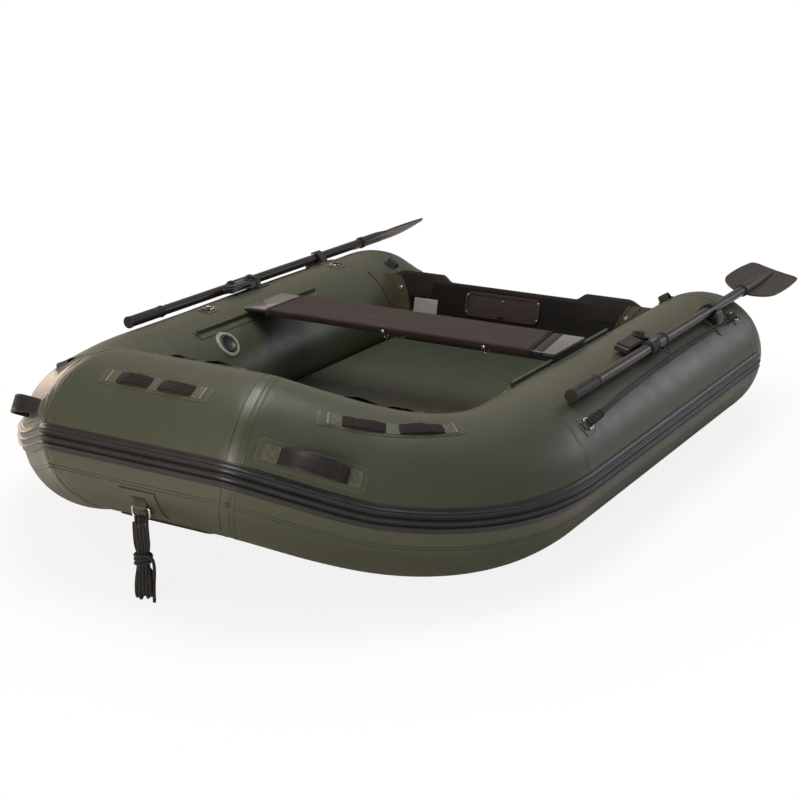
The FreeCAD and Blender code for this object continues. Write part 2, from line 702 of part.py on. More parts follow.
SCREW_HEAD = 4.0
SCREW_DEPTH = 2.0
OUTER_SCREWS = [(sx * (S.outer_plate_width / 2 - 22), sy * (S.outer_plate_height / 2 - 20))
                for sx in (1, -1) for sy in (1, -1)]


def plate_body(name, width, height, corner):
    body = new_body(name)
    sketch = add_sketch(body, name + "Outline", rounded_rectangle(width, height, corner))
    pad(body, sketch, "Sizes.plate_thickness")
    return body


def make_transom_plates():
    """Clamp plate inside, with a rim and a notch, and a plain motor plate outside."""
    body = plate_body("transom_inner_plate", S.plate_width, S.plate_height, S.plate_corner)
    rim = add_sketch(body, "rimOutline",
                     rounded_rectangle(S.plate_width, S.plate_height, S.plate_corner)
                     + rounded_rectangle(S.plate_width - 14, S.plate_height - 14, S.plate_corner - 7))
    pad(body, rim, "Sizes.plate_thickness + Sizes.plate_rim")
    notch = add_sketch(body, "notchOutline", [Part.Circle(V(0, -S.plate_height / 2, 0), V(0, 0, 1), 13)])
    pocket(body, notch, "Sizes.plate_thickness + Sizes.plate_rim + 1", reverse=True)
    body.Placement = BOARD.multiply(FreeCAD.Placement(V(S.plate_shift, S.plate_middle, 0),
                                                      FreeCAD.Rotation()))
    keep("transom_inner_plate", body)
    body = plate_body("transom_outer_plate", S.outer_plate_width, S.outer_plate_height, S.plate_corner)
    sinks = [Part.Circle(V(x, y, 0), V(0, 0, 1), SCREW_HEAD + S.skin_gap) for x, y in OUTER_SCREWS]
    pocket(body, add_sketch(body, "screwSinks", sinks), str(SCREW_DEPTH), reverse=True)
    back = -(S.board_thickness + S.plate_thickness)
    body.Placement = BOARD.multiply(FreeCAD.Placement(V(0, S.outer_plate_middle, back),
                                                      FreeCAD.Rotation()))
    keep("transom_outer_plate", body)


def make_plate_screws():
    """Domed screw heads on the inner plate, heads sunk flush in the outer plate."""
    heads = []
    half_w, half_h = S.plate_width / 2 - 3.5, S.plate_height / 2 - S.plate_corner / 3
    inner = [(sx * (half_w - 4), sy * (half_h - 6), S.plate_thickness + S.plate_rim)
             for sx in (1, -1) for sy in (1, -1)]
    inner.append((0, S.plate_height / 4, S.plate_thickness))
    for x, y, z in inner:
        place = V(S.plate_shift + x, S.plate_middle + y, z)
        heads.append(Part.makeCone(SCREW_HEAD, 2.4, SCREW_DEPTH, place))
    back = -(S.board_thickness + S.plate_thickness)
    for x, y in OUTER_SCREWS:
        place = V(x, S.outer_plate_middle + y, back)
        heads.append(Part.makeCylinder(SCREW_HEAD, SCREW_DEPTH, place))
    feature("transom_plate_screws", Part.makeCompound(heads), BOARD)


def drain_placement():
    """Origin on the board's back face at the drain, X axis pointing aft."""
    origin = BOARD.multVec(V(S.drain_side, S.drain_height, -S.board_thickness))
    return frame_placement(origin, BOARD_Z * -1, BOARD_X)


def make_drain():
    """Drain fitting through the board and the plug that turns in it."""
    bore, tube, flange = S.drain_radius, S.drain_radius + 3, S.drain_radius + 12
    profile = polygon([V(-S.board_thickness - 2, bore, 0), V(-S.board_thickness - 2, tube, 0),
                       V(0, tube, 0), V(0, flange, 0), V(4, flange, 0), V(6, tube + 3, 0),
                       V(10, tube + 1, 0), V(10, bore, 0)])
    fitting = turned("drain_fitting", profile)
    fitting.Placement = drain_placement()
    keep("drain_fitting", fitting)
    stem = bore - S.running_gap
    profile = polygon([V(-6, 0, 0), V(-6, stem, 0), V(10.3, stem, 0), V(10.3, tube + 2, 0),
                       V(17, tube + 2, 0), V(19, tube, 0), V(19, 0, 0)])
    plug = turned("drain_plug", profile)
    wings = add_sketch(plug, "plugWings", rounded_rectangle(8, 2 * tube, 3, V(23, 0, 0)))
    wing_pad = pad(plug, wings, "6")
    wing_pad.Midplane = True
    plug.Placement = drain_placement()
    keep("drain_plug", plug)


# ---------------------------------------------------------------- valves
def valve_placement(side):
    """Origin on the tube's surface at the valve, X axis pointing out of the tube."""
    station = valve_station(side)
    out = station.direction(S.valve_angle)
    return frame_placement(station.centre + out * R, out, V(1, 0, 0))


def make_valves():
    """Recessed inflation valves: a cup in the tube wall, a glued patch, and a cap that turns."""
    body_r, cap_r = S.valve_radius, S.cap_radius
    stem = 6
    cup = cap_r + 0.6
    profile = polygon([V(-S.valve_depth, stem + S.running_gap, 0), V(-S.valve_depth, body_r, 0),
                       V(3.5, body_r, 0), V(5, body_r - 2, 0), V(5, cup + 1, 0), V(4, cup, 0),
                       V(-7, cup, 0), V(-7, stem + S.running_gap, 0)])
    solids = []
    for side in (1, -1):
        cup_body = turned("valveCup" + ("P" if side > 0 else "S"), profile)
        doc.recompute()
        shape = cup_body.Shape.copy()
        shape.Placement = valve_placement(side).multiply(shape.Placement)
        solids.append(shape)
        station = valve_station(side)
        out = station.direction(S.valve_angle)
        ring = Part.makeCylinder(S.valve_patch, 60, station.centre + out * (R - 30), out)
        ring = ring.cut(Part.makeCylinder(body_r + S.skin_gap, 60, station.centre + out * (R - 30), out))
        shell = Part.makeCylinder(SKIN + 1.5, 200, station.centre - V(100, 0, 0), V(1, 0, 0))
        shell = shell.cut(Part.makeCylinder(SKIN, 200, station.centre - V(100, 0, 0), V(1, 0, 0)))
        solids.append(ring.common(shell))
    feature("valve_bodies", Part.makeCompound(solids))
    for side, name in ((1, "port_valve_cap"), (-1, "starboard_valve_cap")):
        profile = polygon([V(-S.valve_depth + 1, 0, 0), V(-S.valve_depth + 1, stem, 0),
                           V(-6.7, stem, 0), V(-6.7, cap_r, 0), V(-0.5, cap_r, 0), V(1, cap_r - 1.5, 0),
                           V(1, cap_r - 4, 0), V(-3, cap_r - 6, 0), V(-3, 0, 0)])
        cap = turned(name, profile)
        grip = add_sketch(cap, name + "Grip", rounded_rectangle(5, 2 * cap_r - 10, 1.5, V(0, 0, 0)),
                          "XY_Plane")
        grip_pad = pad(cap, grip, "5")
        grip_pad.Midplane = True
        cap.Placement = valve_placement(side)
        keep(name, cap)


# ---------------------------------------------------------------- seat
BRACKET_TOP = S.seat_top - S.seat_thickness
BEAD_Z = BRACKET_TOP - S.bracket_height / 2


def make_seat_tracks():
    """Glued foot, upright web and round bead that the seat slides on."""
    foot_angle = 180 - math.degrees(math.acos((S.tube_offset - S.bead_side) / SKIN))
    start, end = port_station(-S.track_aft - S.bend_start), port_station(S.track_fore - S.bend_start)
    foot = skin([start, end], SKIN, SKIN + 2, foot_angle - S.track_half_angle,
                foot_angle + S.track_half_angle)
    length = S.track_aft + S.track_fore
    base_z = start.point(SKIN + 1, foot_angle).z
    web = Part.makeBox(length, S.web_thickness, BEAD_Z - base_z,
                       V(-S.track_aft, S.bead_side - S.web_thickness / 2, base_z))
    bead = Part.makeCylinder(S.bead_radius, length, V(-S.track_aft, S.bead_side, BEAD_Z), V(1, 0, 0))
    both_sides("seat_track", foot.fuse(web).fuse(bead))


def make_seat():
    """Plank with rounded long edges, end brackets that ride the beads, and a fabric sleeve."""
    middle = S.seat_fore - S.seat_width / 2
    body = new_body("seat_plank")
    section = rounded_rectangle(S.seat_width, S.seat_thickness, S.seat_thickness * 0.4)
    sketch = add_sketch(body, "plankSection", section, "XZ_Plane")
    plank = pad(body, sketch, "2 * Sizes.seat_half")
    plank.Midplane = True
    body.Placement = FreeCAD.Placement(V(middle, 0, S.seat_top - S.seat_thickness / 2), FreeCAD.Rotation())
    keep("seat_plank", body)

    body = new_body("seat_cover")
    grow = S.skin_gap
    inner = rounded_rectangle(S.seat_width + 2 * grow, S.seat_thickness + 2 * grow,
                              S.seat_thickness * 0.4 + grow)
    outer = rounded_rectangle(S.seat_width + 2 * (grow + S.cover_wall),
                              S.seat_thickness + 2 * (grow + S.cover_wall),
                              S.seat_thickness * 0.4 + grow + S.cover_wall)
    sketch = add_sketch(body, "coverSection", outer + inner, "XZ_Plane")
    sleeve = pad(body, sketch, "2 * Sizes.cover_half")
    sleeve.Midplane = True
    body.Placement = FreeCAD.Placement(V(middle, 0, S.seat_top - S.seat_thickness / 2), FreeCAD.Rotation())
    keep("seat_cover", body)

    width, tall = S.bracket_width, S.bracket_height
    low = BRACKET_TOP - tall
    block = Part.makeBox(S.seat_width - 20, width, tall, V(middle - S.seat_width / 2 + 10,
                                                           S.seat_half - width, low))
    length = S.seat_width
    start = V(middle - length / 2, S.bead_side, BEAD_Z)
    slot = Part.makeCylinder(S.bead_radius + S.slide_gap, length, start, V(1, 0, 0))
    throat_half = S.web_thickness / 2 + S.slide_gap
    throat = Part.makeBox(length, 2 * throat_half, tall, start - V(0, throat_half, tall))
    shave = Part.makeCylinder(SKIN + 2 + S.slide_gap, 2 * length, V(middle - length, S.tube_offset, TUBE_Z),
                              V(1, 0, 0))
    block = block.cut(slot).cut(throat).cut(shave)
    brackets = list(block.Solids) + [mirrored(solid) for solid in block.Solids]
    feature("seat_end_brackets", Part.makeCompound(brackets))


def make_seat_rings():
    """Two small tie rings with tabs under the cover's front edge."""
    low = S.seat_top - S.seat_thickness - S.skin_gap - S.cover_wall
    rings = []
    for side in (-28, 300):
        tab = Part.makeBox(16, 22, 3, V(S.seat_fore - 26, side - 11, low - 3))
        ring = Part.makeTorus(7, 1.6, V(S.seat_fore - 18, side, low - 10.3), V(1, 0, 0))
        rings.append(tab.fuse(ring))
    feature("seat_cover_rings", Part.makeCompound(rings))


# ---------------------------------------------------------------- rowlocks and oars
PIVOT_ANGLE = math.degrees(math.acos((S.pivot_side - S.tube_offset) / R))
PIVOT = port_station(S.sleeve_place - S.bend_start)
PIVOT_UP = PIVOT.direction(PIVOT_ANGLE)
PIVOT_OUT = PIVOT_UP.cross(V(1, 0, 0))
PIVOT_POINT = PIVOT.point(R, PIVOT_ANGLE)
OAR_POINT = V(S.sleeve_place, S.oar_side, S.oar_height)
OAR_UP = (OAR_POINT - PIVOT_POINT).dot(PIVOT_UP)
OAR_OUT = (OAR_POINT - PIVOT_POINT).dot(PIVOT_OUT)
# local frame of a rowlock: X forward, Y outboard along the tube's skin, Z out of the tube
ROWLOCK = frame_placement(PIVOT_POINT, V(1, 0, 0), PIVOT_OUT)
if ROWLOCK.Rotation.multVec(V(0, 0, 1)).dot(PIVOT_UP) < 0:
    raise RuntimeError("the rowlock frame points into the tube")


KEEPER_HOLE = V(0, OAR_OUT + S.sleeve_radius + 8, OAR_UP)
KEEPER_RING = 12


def make_rowlocks():
    """Glued foot with a round boss, and a turret with an arm that turns on it."""
    low, high = PIVOT_ANGLE - 9, PIVOT_ANGLE + 9
    runs = [S.sleeve_place - 42 - S.bend_start, S.sleeve_place + 26 - S.bend_start]
    foot = skin([port_station(run) for run in runs], SKIN, SKIN + 2.6, low, high)
    boss = Part.makeCylinder(S.boss_radius, S.boss_height + 6, V(0, 0, -6))
    boss.Placement = ROWLOCK
    hole = Part.makeCylinder(S.stem_radius + S.running_gap, S.boss_height + 20, V(0, 0, 1.5))
    hole.Placement = ROWLOCK
    tube = Part.makeCylinder(SKIN, 400, V(S.sleeve_place - 200, S.tube_offset, TUBE_Z), V(1, 0, 0))
    base = foot.fuse(boss).cut(tube).cut(hole)
    both_sides("rowlock_base", max(base.Solids, key=lambda solid: solid.Volume))

    rest = S.boss_height + 0.3
    top = rest + S.turret_height
    drum = Part.makeCylinder(S.boss_radius, S.turret_height, V(0, 0, rest))
    arm = Part.makeBox(S.arm_length, 2 * S.arm_half, S.turret_height - 6, V(0, -S.arm_half, rest))
    arm = arm.makeFillet(4, [edge for edge in arm.Edges
                             if abs(edge.BoundBox.XLength) < 1e-6 and edge.BoundBox.XMin > 1])
    deck = Part.makeBox(S.arm_length - 44, 2 * S.arm_half - 6, 4, V(34, 3 - S.arm_half, top - 6))
    stem = Part.makeCylinder(S.stem_radius, S.boss_height - 2, V(0, 0, 2.3))
    hoop = Part.makeCylinder(S.boss_radius, 14, V(-7, 0, top - S.boss_radius + 8), V(1, 0, 0))
    hoop = hoop.common(Part.makeBox(60, 60, 40, V(-30, -30, top - 1)))
    turret = fused([drum, arm, deck, stem, hoop])
    window = Part.makeBox(S.arm_length - 60, 2 * S.arm_half + 2, 6, V(40, -S.arm_half - 1, rest + 4))
    turret = turret.cut(window.cut(Part.makeBox(S.arm_length, 10, 6, V(0, -5, rest + 4))))
    bore = Part.makeCylinder(S.trunnion_radius + S.running_gap, 60, V(0, -18, OAR_UP), V(0, 1, 0))
    turret = turret.cut(bore)
    turret.Placement = ROWLOCK
    both_sides("rowlock_turret", turret)


def make_sleeves():
    """Ribbed sleeve round the shaft; its trunnion turns in the turret's bore."""
    half = S.sleeve_length / 2
    bore = S.shaft_radius + S.running_gap
    crest, root = S.sleeve_radius, S.sleeve_radius - 1.6
    points = [V(half, bore, 0), V(half, crest, 0)]
    count = 6
    pitch = S.sleeve_length / (2 * count)
    for k in range(count):
        start = half - 2 - k * pitch
        points += [V(start, crest, 0), V(start - pitch * 0.35, root, 0), V(start - pitch * 0.7, crest, 0)]
    points += [V(-half, crest, 0), V(-half, bore, 0)]
    doc.recompute()
    body = turned("sleeveTube", polygon(points))
    doc.recompute()
    tube = body.Shape.copy()
    tube.Placement = FreeCAD.Placement(OAR_POINT, FreeCAD.Rotation()).multiply(tube.Placement)
    length = OAR_OUT - S.sleeve_radius + 14
    pin = Part.makeCylinder(S.trunnion_radius, length + 2, V(0, OAR_OUT - S.sleeve_radius - length + 1, OAR_UP),
                            V(0, 1, 0))
    pin.Placement = ROWLOCK
    boss = Part.makeCylinder(6, 6, V(0, OAR_OUT + S.sleeve_radius - 2, OAR_UP), V(0, 1, 0))
    lug = Part.makeBox(4, 14, 9, V(-2, OAR_OUT + S.sleeve_radius - 2, OAR_UP - 4.5))
    boss = boss.fuse(lug).cut(Part.makeCylinder(1.7, 20, KEEPER_HOLE - V(10, 0, 0), V(1, 0, 0)))
    boss.Placement = ROWLOCK
    bored = Part.makeCylinder(bore, S.sleeve_length + 10, OAR_POINT - V(half + 5, 0, 0), V(1, 0, 0))
    sleeve = tube.fuse(pin).fuse(boss).cut(bored)
    both_sides("oar_sleeve", sleeve)


def make_keepers():
    """Split ring through each sleeve's outer lug."""
    lean = math.radians(-18)
    away = V(0, math.cos(lean), math.sin(lean))
    ring = Part.makeTorus(KEEPER_RING, 1.2, KEEPER_HOLE + away * KEEPER_RING, away.cross(V(1, 0, 0)))
    ring.Placement = ROWLOCK
    both_sides("oar_keeper", ring)


def make_oar(side, word, roll):
    """Shaft with stop collars, grip and blade, stowed along its tube."""
    axis = V(0, side * S.oar_side, S.oar_height)
    shaft_end = S.blade_root - S.socket_hold
    half = S.sleeve_length / 2
    shaft = Part.makeCylinder(S.shaft_radius, S.handle_end - 6 - shaft_end, V(shaft_end, 0, 0), V(1, 0, 0))
    feature(word + "_oar_shaft", shaft, FreeCAD.Placement(axis, FreeCAD.Rotation()))
    inner = S.shaft_radius + S.press_gap
    stops = []
    for start in (S.sleeve_place + half + 0.5, S.sleeve_place - half - 0.5 - S.collar_length):
        stop = Part.makeCylinder(S.collar_radius, S.collar_length, V(start, 0, 0), V(1, 0, 0))
        stops.append(stop.cut(Part.makeCylinder(inner, S.collar_length, V(start, 0, 0), V(1, 0, 0))))
    feature(word + "_oar_stops", Part.makeCompound(stops), FreeCAD.Placement(axis, FreeCAD.Rotation()))

    start = S.handle_end - S.grip_length
    profile = polygon([V(start, inner, 0), V(start, S.grip_radius + 1.5, 0),
                       V(start + 6, S.grip_radius + 1.5, 0), V(start + 8, S.grip_radius, 0),
                       V(S.handle_end - 8, S.grip_radius, 0), V(S.handle_end - 6, S.grip_radius + 1.5, 0),
                       V(S.handle_end - 1, S.grip_radius + 1.5, 0), V(S.handle_end, S.grip_radius, 0),
                       V(S.handle_end, 0, 0), V(S.handle_end - 6, 0, 0), V(S.handle_end - 6, inner, 0)])
    grip = turned(word + "_oar_grip", profile)
    grip.Placement = FreeCAD.Placement(axis, FreeCAD.Rotation())
    keep(word + "_oar_grip", grip)

    blade = blade_shape()
    turn = FreeCAD.Rotation(V(1, 0, 0), -side * roll)
    feature(word + "_oar_blade", blade, FreeCAD.Placement(axis, turn))


def blade_shape():
    """Shovel blade: rounded shoulders, nearly square end, slight camber, and a tapering socket."""
    root, length, half = S.blade_root, S.blade_length, S.blade_half
    tip = root - length
    port = [V(root + 12, 26, 0), V(root - 18, 62, 0), V(root - 82, half - 3, 0),
            V(root - 200, half, 0), V(tip + 30, half - 6, 0), V(tip + 7, half - 16, 0),
            V(tip, half - 40, 0)]
    star = [V(point.x, -point.y, 0) for point in port]
    edges = [Part.Arc(port[0], port[1], port[2]), Part.Arc(port[2], port[3], port[4]),
             Part.Arc(port[4], port[5], port[6]), Part.LineSegment(port[6], star[6]),
             Part.Arc(star[6], star[5], star[4]), Part.Arc(star[4], star[3], star[2]),
             Part.Arc(star[2], star[1], star[0]), Part.LineSegment(star[0], port[0])]
    face = Part.Face(Part.Wire([edge.toShape() for edge in edges]))
    block = face.extrude(V(0, 0, 60))
    block.translate(V(0, 0, -30))
    camber = 900
    thick = S.blade_thickness
    outer = Part.makeCylinder(camber + thick / 2, length + 60, V(tip - 20, 0, camber - 6), V(1, 0, 0))
    inner = Part.makeCylinder(camber - thick / 2, length + 60, V(tip - 20, 0, camber - 6), V(1, 0, 0))
    leaf = block.common(outer.cut(inner))
    spindle = [V(root + 14, 0, 0), V(root + 14, S.socket_radius + 2, 0), V(root, S.socket_radius + 2, 0),
               V(root, S.socket_radius, 0), V(root - 110, S.socket_radius, 0),
               V(root - S.socket_length, 5, 0), V(root - S.socket_length, 0, 0)]
    section = Part.Face(Part.Wire(Part.makePolygon(spindle + [spindle[0]])))
    section.rotate(ORIGIN, V(1, 0, 0), 90)
    blade = leaf.fuse(section.revolve(ORIGIN, V(1, 0, 0), 360))
    bore = Part.makeCylinder(S.shaft_radius + S.press_gap, S.socket_hold + 20, V(root - S.socket_hold, 0, 0),
                             V(1, 0, 0))
    return blade.cut(bore)


def make_clips():
    """Moulded clip that holds a stowed shaft; it is open outboard, where the oar swings out."""
    centre = V(S.clip_place, S.oar_side, S.oar_height)
    toward = math.degrees(math.atan2(S.oar_height - TUBE_Z, S.oar_side - S.tube_offset))
    hold = S.shaft_radius + S.clip_gap
    outer = hold + S.clip_wall
    half = S.clip_length / 2

    def prism(radius):
        """Eight-sided bar round the shaft, with its flats at the radius."""
        reach = radius / math.cos(math.radians(22.5))
        corners = [V(0, reach * math.cos(math.radians(22.5 + 45 * k)),
                     reach * math.sin(math.radians(22.5 + 45 * k))) for k in range(8)]
        bar = Part.Face(Part.Wire(Part.makePolygon(corners + [corners[0]]))).extrude(V(S.clip_length, 0, 0))
        bar.Placement = FreeCAD.Placement(V(-half, 0, 0), FreeCAD.Rotation(V(1, 0, 0), -24))
        return bar

    room = prism(hold)
    mouth = Part.makeBox(S.clip_length, 4 * outer, 4 * outer, V(-half, hold * 0.30, -hold - 0.001))
    mouth.Placement = FreeCAD.Placement(ORIGIN, FreeCAD.Rotation(V(1, 0, 0), -24))
    jaw = prism(outer).cut(room).cut(mouth)
    heel = Part.makeBox(S.clip_length, outer + 6, outer, V(-half, -outer - 4, -outer - 2))
    heel.Placement = FreeCAD.Placement(ORIGIN, FreeCAD.Rotation(V(1, 0, 0), toward - 90))
    clip = jaw.fuse(heel.cut(room))
    clip.translate(centre)
    run = S.clip_place - S.bend_start
    foot = skin([port_station(run - half - 8), port_station(run + half + 8)], SKIN, SKIN + 4,
                toward - 20, toward + 10)
    tube = Part.makeCylinder(SKIN, 400, V(S.clip_place - 200, S.tube_offset, TUBE_Z), V(1, 0, 0))
    clip = clip.cut(tube).fuse(foot)
    both_sides("oar_clip", max(clip.Solids, key=lambda solid: solid.Volume))


# ---------------------------------------------------------------- straps and handles
def strap_row(stations, angle):
    """Base patch with three sewn pads, and the two webbing loops between them."""
    half = S.webbing_half_angle
    count = len(stations)
    patch = skin(stations, SKIN, SKIN + S.patch_thickness, angle - half - 3.2, angle + half + 3.2)
    level = SKIN + S.patch_thickness
    last = count - 1
    pads = [(1, 3), (last // 2 - 1, last // 2 + 1), (last - 3, last - 1)]
    for first, end in pads:
        row = [stations[first], stations[(first + end) // 2], stations[end]]
        patch = patch.fuse(skin(row, level - 0.2, level + S.pad_thickness, angle - half - 0.8,
                                angle + half + 0.8))
    loops = []
    for first, end in ((3, last // 2 - 1), (last // 2 + 1, last - 3)):
        wires = []
        for k in range(first, end + 1):
            lift = S.webbing_lift * math.sin(math.pi * (k - first) / (end - first)) ** 2
            low = level + 0.3 + lift
            wires.append(sector_wire(stations[k], low, low + S.webbing_thickness, angle - half,
                                     angle + half))
        loops.append(Part.makeLoft(wires, True, False))
    return patch, loops


def make_straps():
    """Outer and inner strap rows on the bow tube and on both quarters."""
    patches, webbing = [], []
    for angle, half in ((S.strap_outer_angle, 158), (S.strap_inner_angle, 132)):
        patch, loops = strap_row([bow_station(side) for side in spread(half, -half, 19)], angle)
        patches.append(patch)
        webbing += loops
    for angle, first, last in ((S.strap_outer_angle, 300, 668), (S.strap_inner_angle, 322, 640)):
        patch, loops = strap_row([port_station(run) for run in spread(first, last, 19)], angle)
        patches += [patch, mirrored(patch)]
        webbing += loops + [mirrored(loop) for loop in loops]
    feature("strap_patches", Part.makeCompound(patches))
    feature("strap_webbing", Part.makeCompound(webbing))


def make_carry_handles():
    """Grip that arches over the tube between two sewn pads, on a glued patch."""
    runs = spread(520, 752, 13)
    stations = [port_station(run) for run in runs]
    angle = S.handle_angle
    patch = skin(stations[::3], SKIN, SKIN + S.patch_thickness, angle - 11, angle + 11)
    level = SKIN + S.patch_thickness
    wires = []
    first, last = 1, 11
    for k in range(first, last + 1):
        part = min(max((k - first - 2) / (last - first - 4), 0), 1)
        lift = S.handle_lift * math.sin(math.pi * part) ** 0.8 if 0 < part < 1 else 0
        thick = S.pad_thickness + (S.handle_thickness - S.pad_thickness) * math.sin(math.pi * part)
        low = level - 0.2 + lift
        wires.append(sector_wire(stations[k], low, low + 0.2 + thick, angle - 5.4, angle + 5.4))
    grip = Part.makeLoft(wires, True, True)
    handle = patch.fuse(grip)
    feature("carry_handles", Part.makeCompound([handle, mirrored(handle)]))


def make_stern_handles():
    """Webbing handle behind the transom on each side tube."""
    runs = spread(-S.side_aft + 2 - S.bend_start, -S.side_aft + 52 - S.bend_start, 9)
    stations = [port_station(run) for run in runs]
    angle = 122
    wires = []
    for k, station in enumerate(stations):
        part = min(max((k - 2) / 4, 0), 1)
        lift = 18 * math.sin(math.pi * part)
        wires.append(sector_wire(station, SKIN + lift, SKIN + lift + 3, angle - 5, angle + 5))
    handle = Part.makeLoft(wires, True, True)
    feature("stern_handles", Part.makeCompound([handle, mirrored(handle)]))


# ---------------------------------------------------------------- rings, lifelines and painter
RING_TOP = 5.3
RING_PLACES = [("port", 390, 41.6), ("port", -753, 49.3), ("starboard", 390, 41.6),
               ("starboard", -753, 49.3), ("starboard", 144, 92), ("starboard", -561, 94)]


def flat_ring(width, height, stock, thickness):
    """Flat D ring with chamfered corners."""
    def loop(half, low, high, cut):
        points = [V(-half, low, 0), V(half, low, 0), V(half, high - cut, 0), V(half - cut, high, 0),
                  V(cut - half, high, 0), V(-half, high - cut, 0)]
        face = Part.Face(Part.Wire(Part.makePolygon(points + [points[0]])))
        return face.extrude(V(0, 0, thickness))
    outer = loop(width / 2, 0, height, width * 0.28)
    inner = loop(width / 2 - stock, stock, height - stock, width * 0.22)
    return outer.cut(inner)


def make_rings():
    """Ring pads glued to the tubes, and the flat rings that lie on them."""
    pads, rings = [], []
    for side, place, angle in RING_PLACES:
        run = place - S.bend_start
        pad_piece = skin([port_station(run - 27), port_station(run + 27)], SKIN, SKIN + 2, angle - 8, angle + 8)
        station = port_station(run)
        outward = station.direction(angle)
        across = station.along.cross(outward)
        ring = flat_ring(34, 26, 4, 3)
        fore = 1 if place > 0 else -1
        ring.Placement = frame_placement(station.point(SKIN + 2.3, angle), across * -fore,
                                         station.along * -fore)
        ring.translate(station.along * (fore * 4))
        if side == "starboard":
            pad_piece, ring = mirrored(pad_piece), mirrored(ring)
        pads.append(pad_piece)
        rings.append(ring)
    feature("ring_pads", Part.makeCompound(pads))
    feature("hull_rings", Part.makeCompound(rings))


def make_lifelines():
    """Doubled cord between two rings, lashed near each end."""
    ends = []
    for place, angle in ((390, 41.6), (-753, 49.3)):
        station = port_station(place - S.bend_start)
        ends.append(station.point(SKIN + RING_TOP + 0.3 + S.cord_radius, angle))
    run = ends[1] - ends[0]
    along = V(run.x, run.y, run.z).normalize()
    start = ends[0] + along * 18
    stop = ends[1] - along * 18
    outward = port_station(-S.bend_start).direction(45)
    across = along.cross(outward).normalize()
    pieces = []
    for sign in (1, -1):
        pieces.append(Part.makeCylinder(S.cord_radius, (stop - start).Length, start + across * (3.2 * sign), along))
    pieces.append(Part.makeCylinder(S.lash_radius, 62, start + along * 16, along))
    pieces.append(Part.makeCylinder(S.lash_radius, 40, stop - along * 56, along))
    line = fused(pieces)
    both_sides("lifeline", line)


def tow_frame():
    """Station on the bow tube at the tow ring."""
    station = bow_station(0)
    return station.point(SKIN, S.tow_angle), station.direction(S.tow_angle)


def make_tow_point():
    """Patch with a webbing loop on the bow tube, and the ring that hangs in it."""
    spot, outward = tow_frame()
    half = math.degrees(46 / R)
    patch = skin([bow_station(52), bow_station(-52)], SKIN, SKIN + 2.4, S.tow_angle - half, S.tow_angle + half)
    axle = spot + outward * 8.5
    loop = Part.makeCylinder(6.4, 34, V(axle.x, -17, axle.z), V(0, 1, 0))
    neck = Part.makeBox(34, 12.8, 9, V(-17, -6.4, -9))
    neck.Placement = frame_placement(axle, V(0, 1, 0), V(0, 1, 0).cross(outward) * -1)
    hole = Part.makeCylinder(S.wire_radius + 0.4, 60, V(axle.x, -30, axle.z), V(0, 1, 0))
    tube = Part.makeCylinder(SKIN, 400, V(BOW_X, -200, BOW_Z), V(0, 1, 0))
    feature("tow_patch", patch.fuse(loop).fuse(neck).cut(tube).cut(hole))
    half_w, drop, wire = S.tow_width / 2 - S.wire_radius, S.tow_drop - 2 * S.wire_radius, S.wire_radius
    corners = [V(0, -half_w, 0), V(0, -half_w, -drop * 0.45), V(0, -half_w * 0.5, -drop),
               V(0, half_w * 0.5, -drop), V(0, half_w, -drop * 0.45), V(0, half_w, 0)]
    bars = [Part.makeCylinder(wire, 2 * half_w, axle + corners[0], V(0, 1, 0))]
    for start, end in zip(corners[:-1], corners[1:]):
        bars.append(Part.makeCylinder(wire, (end - start).Length, axle + start, end - start))
        bars.append(Part.makeSphere(wire, axle + start))
    bars.append(Part.makeSphere(wire, axle + corners[-1]))
    feature("tow_ring", fused(bars))
    return axle


def make_painter(axle):
    """Painter folded into a hank that hangs from the tow ring, with two free ends."""
    top = axle.z - S.tow_drop + S.wire_radius - 0.6
    low = S.hank_low
    x = axle.x
    sections = [(top, 0.45), (top - 26, 0.8), (top - 70, 0.9), (top - 96, 1.0), (top - 118, 0.92),
                (low + 46, 1.0), (low + 14, 0.9), (low, 0.55)]
    wires = []
    for height, grow in sections:
        ellipse = Part.Ellipse(V(x, 0, height), S.hank_width / 2 * grow, S.hank_depth / 2 * grow)
        shape = ellipse.toShape()
        shape.rotate(V(x, 0, height), V(0, 0, 1), 90)
        wires.append(Part.Wire(shape))
    feature("painter_hank", Part.makeLoft(wires, True, False))


def make_all():
    for side, word in ((1, "port"), (-1, "starboard")):
        make_side_tube(side, word + "_side_tube")
        make_stern_cone(side, word + "_stern_cone")
    make_bow_tubes()
    make_strakes()
    make_wear_strips()
    make_bottom()
    make_floor()
    make_transom_board()
    doc.recompute()
    make_transom_holders()
    make_transom_bolts()
    make_transom_plates()
    make_plate_screws()
    make_drain()
    make_valves()
    make_seat_tracks()
    make_seat()
    make_seat_rings()
    make_rowlocks()
    make_sleeves()
    make_keepers()
    make_oar(1, "port", S.port_roll)
    make_oar(-1, "starboard", S.starboard_roll)
    make_clips()
    make_straps()
    make_carry_handles()
    make_stern_handles()
    make_rings()
    make_lifelines()
    axle = make_tow_point()
    make_painter(axle)


def check_and_export():
    """Every object must have been rebuilt and every sub-part must be a valid closed shape."""
    doc.recompute()
    bad = [thing.Name for thing in doc.Objects if {"Invalid", "Error"} & set(thing.State)]
    if bad:
        raise RuntimeError("objects that failed: " + ", ".join(bad))
    os.makedirs("parts", exist_ok=True)
    broken = [label for label, thing in PARTS.items()
              if thing.Shape.isNull() or not thing.Shape.isValid() or not thing.Shape.Solids]
    if broken:
        raise RuntimeError("bad shapes: " + ", ".join(broken))
    for label, thing in sorted(PARTS.items()):
        thing.Shape.exportStep(f"parts/{label}.step")


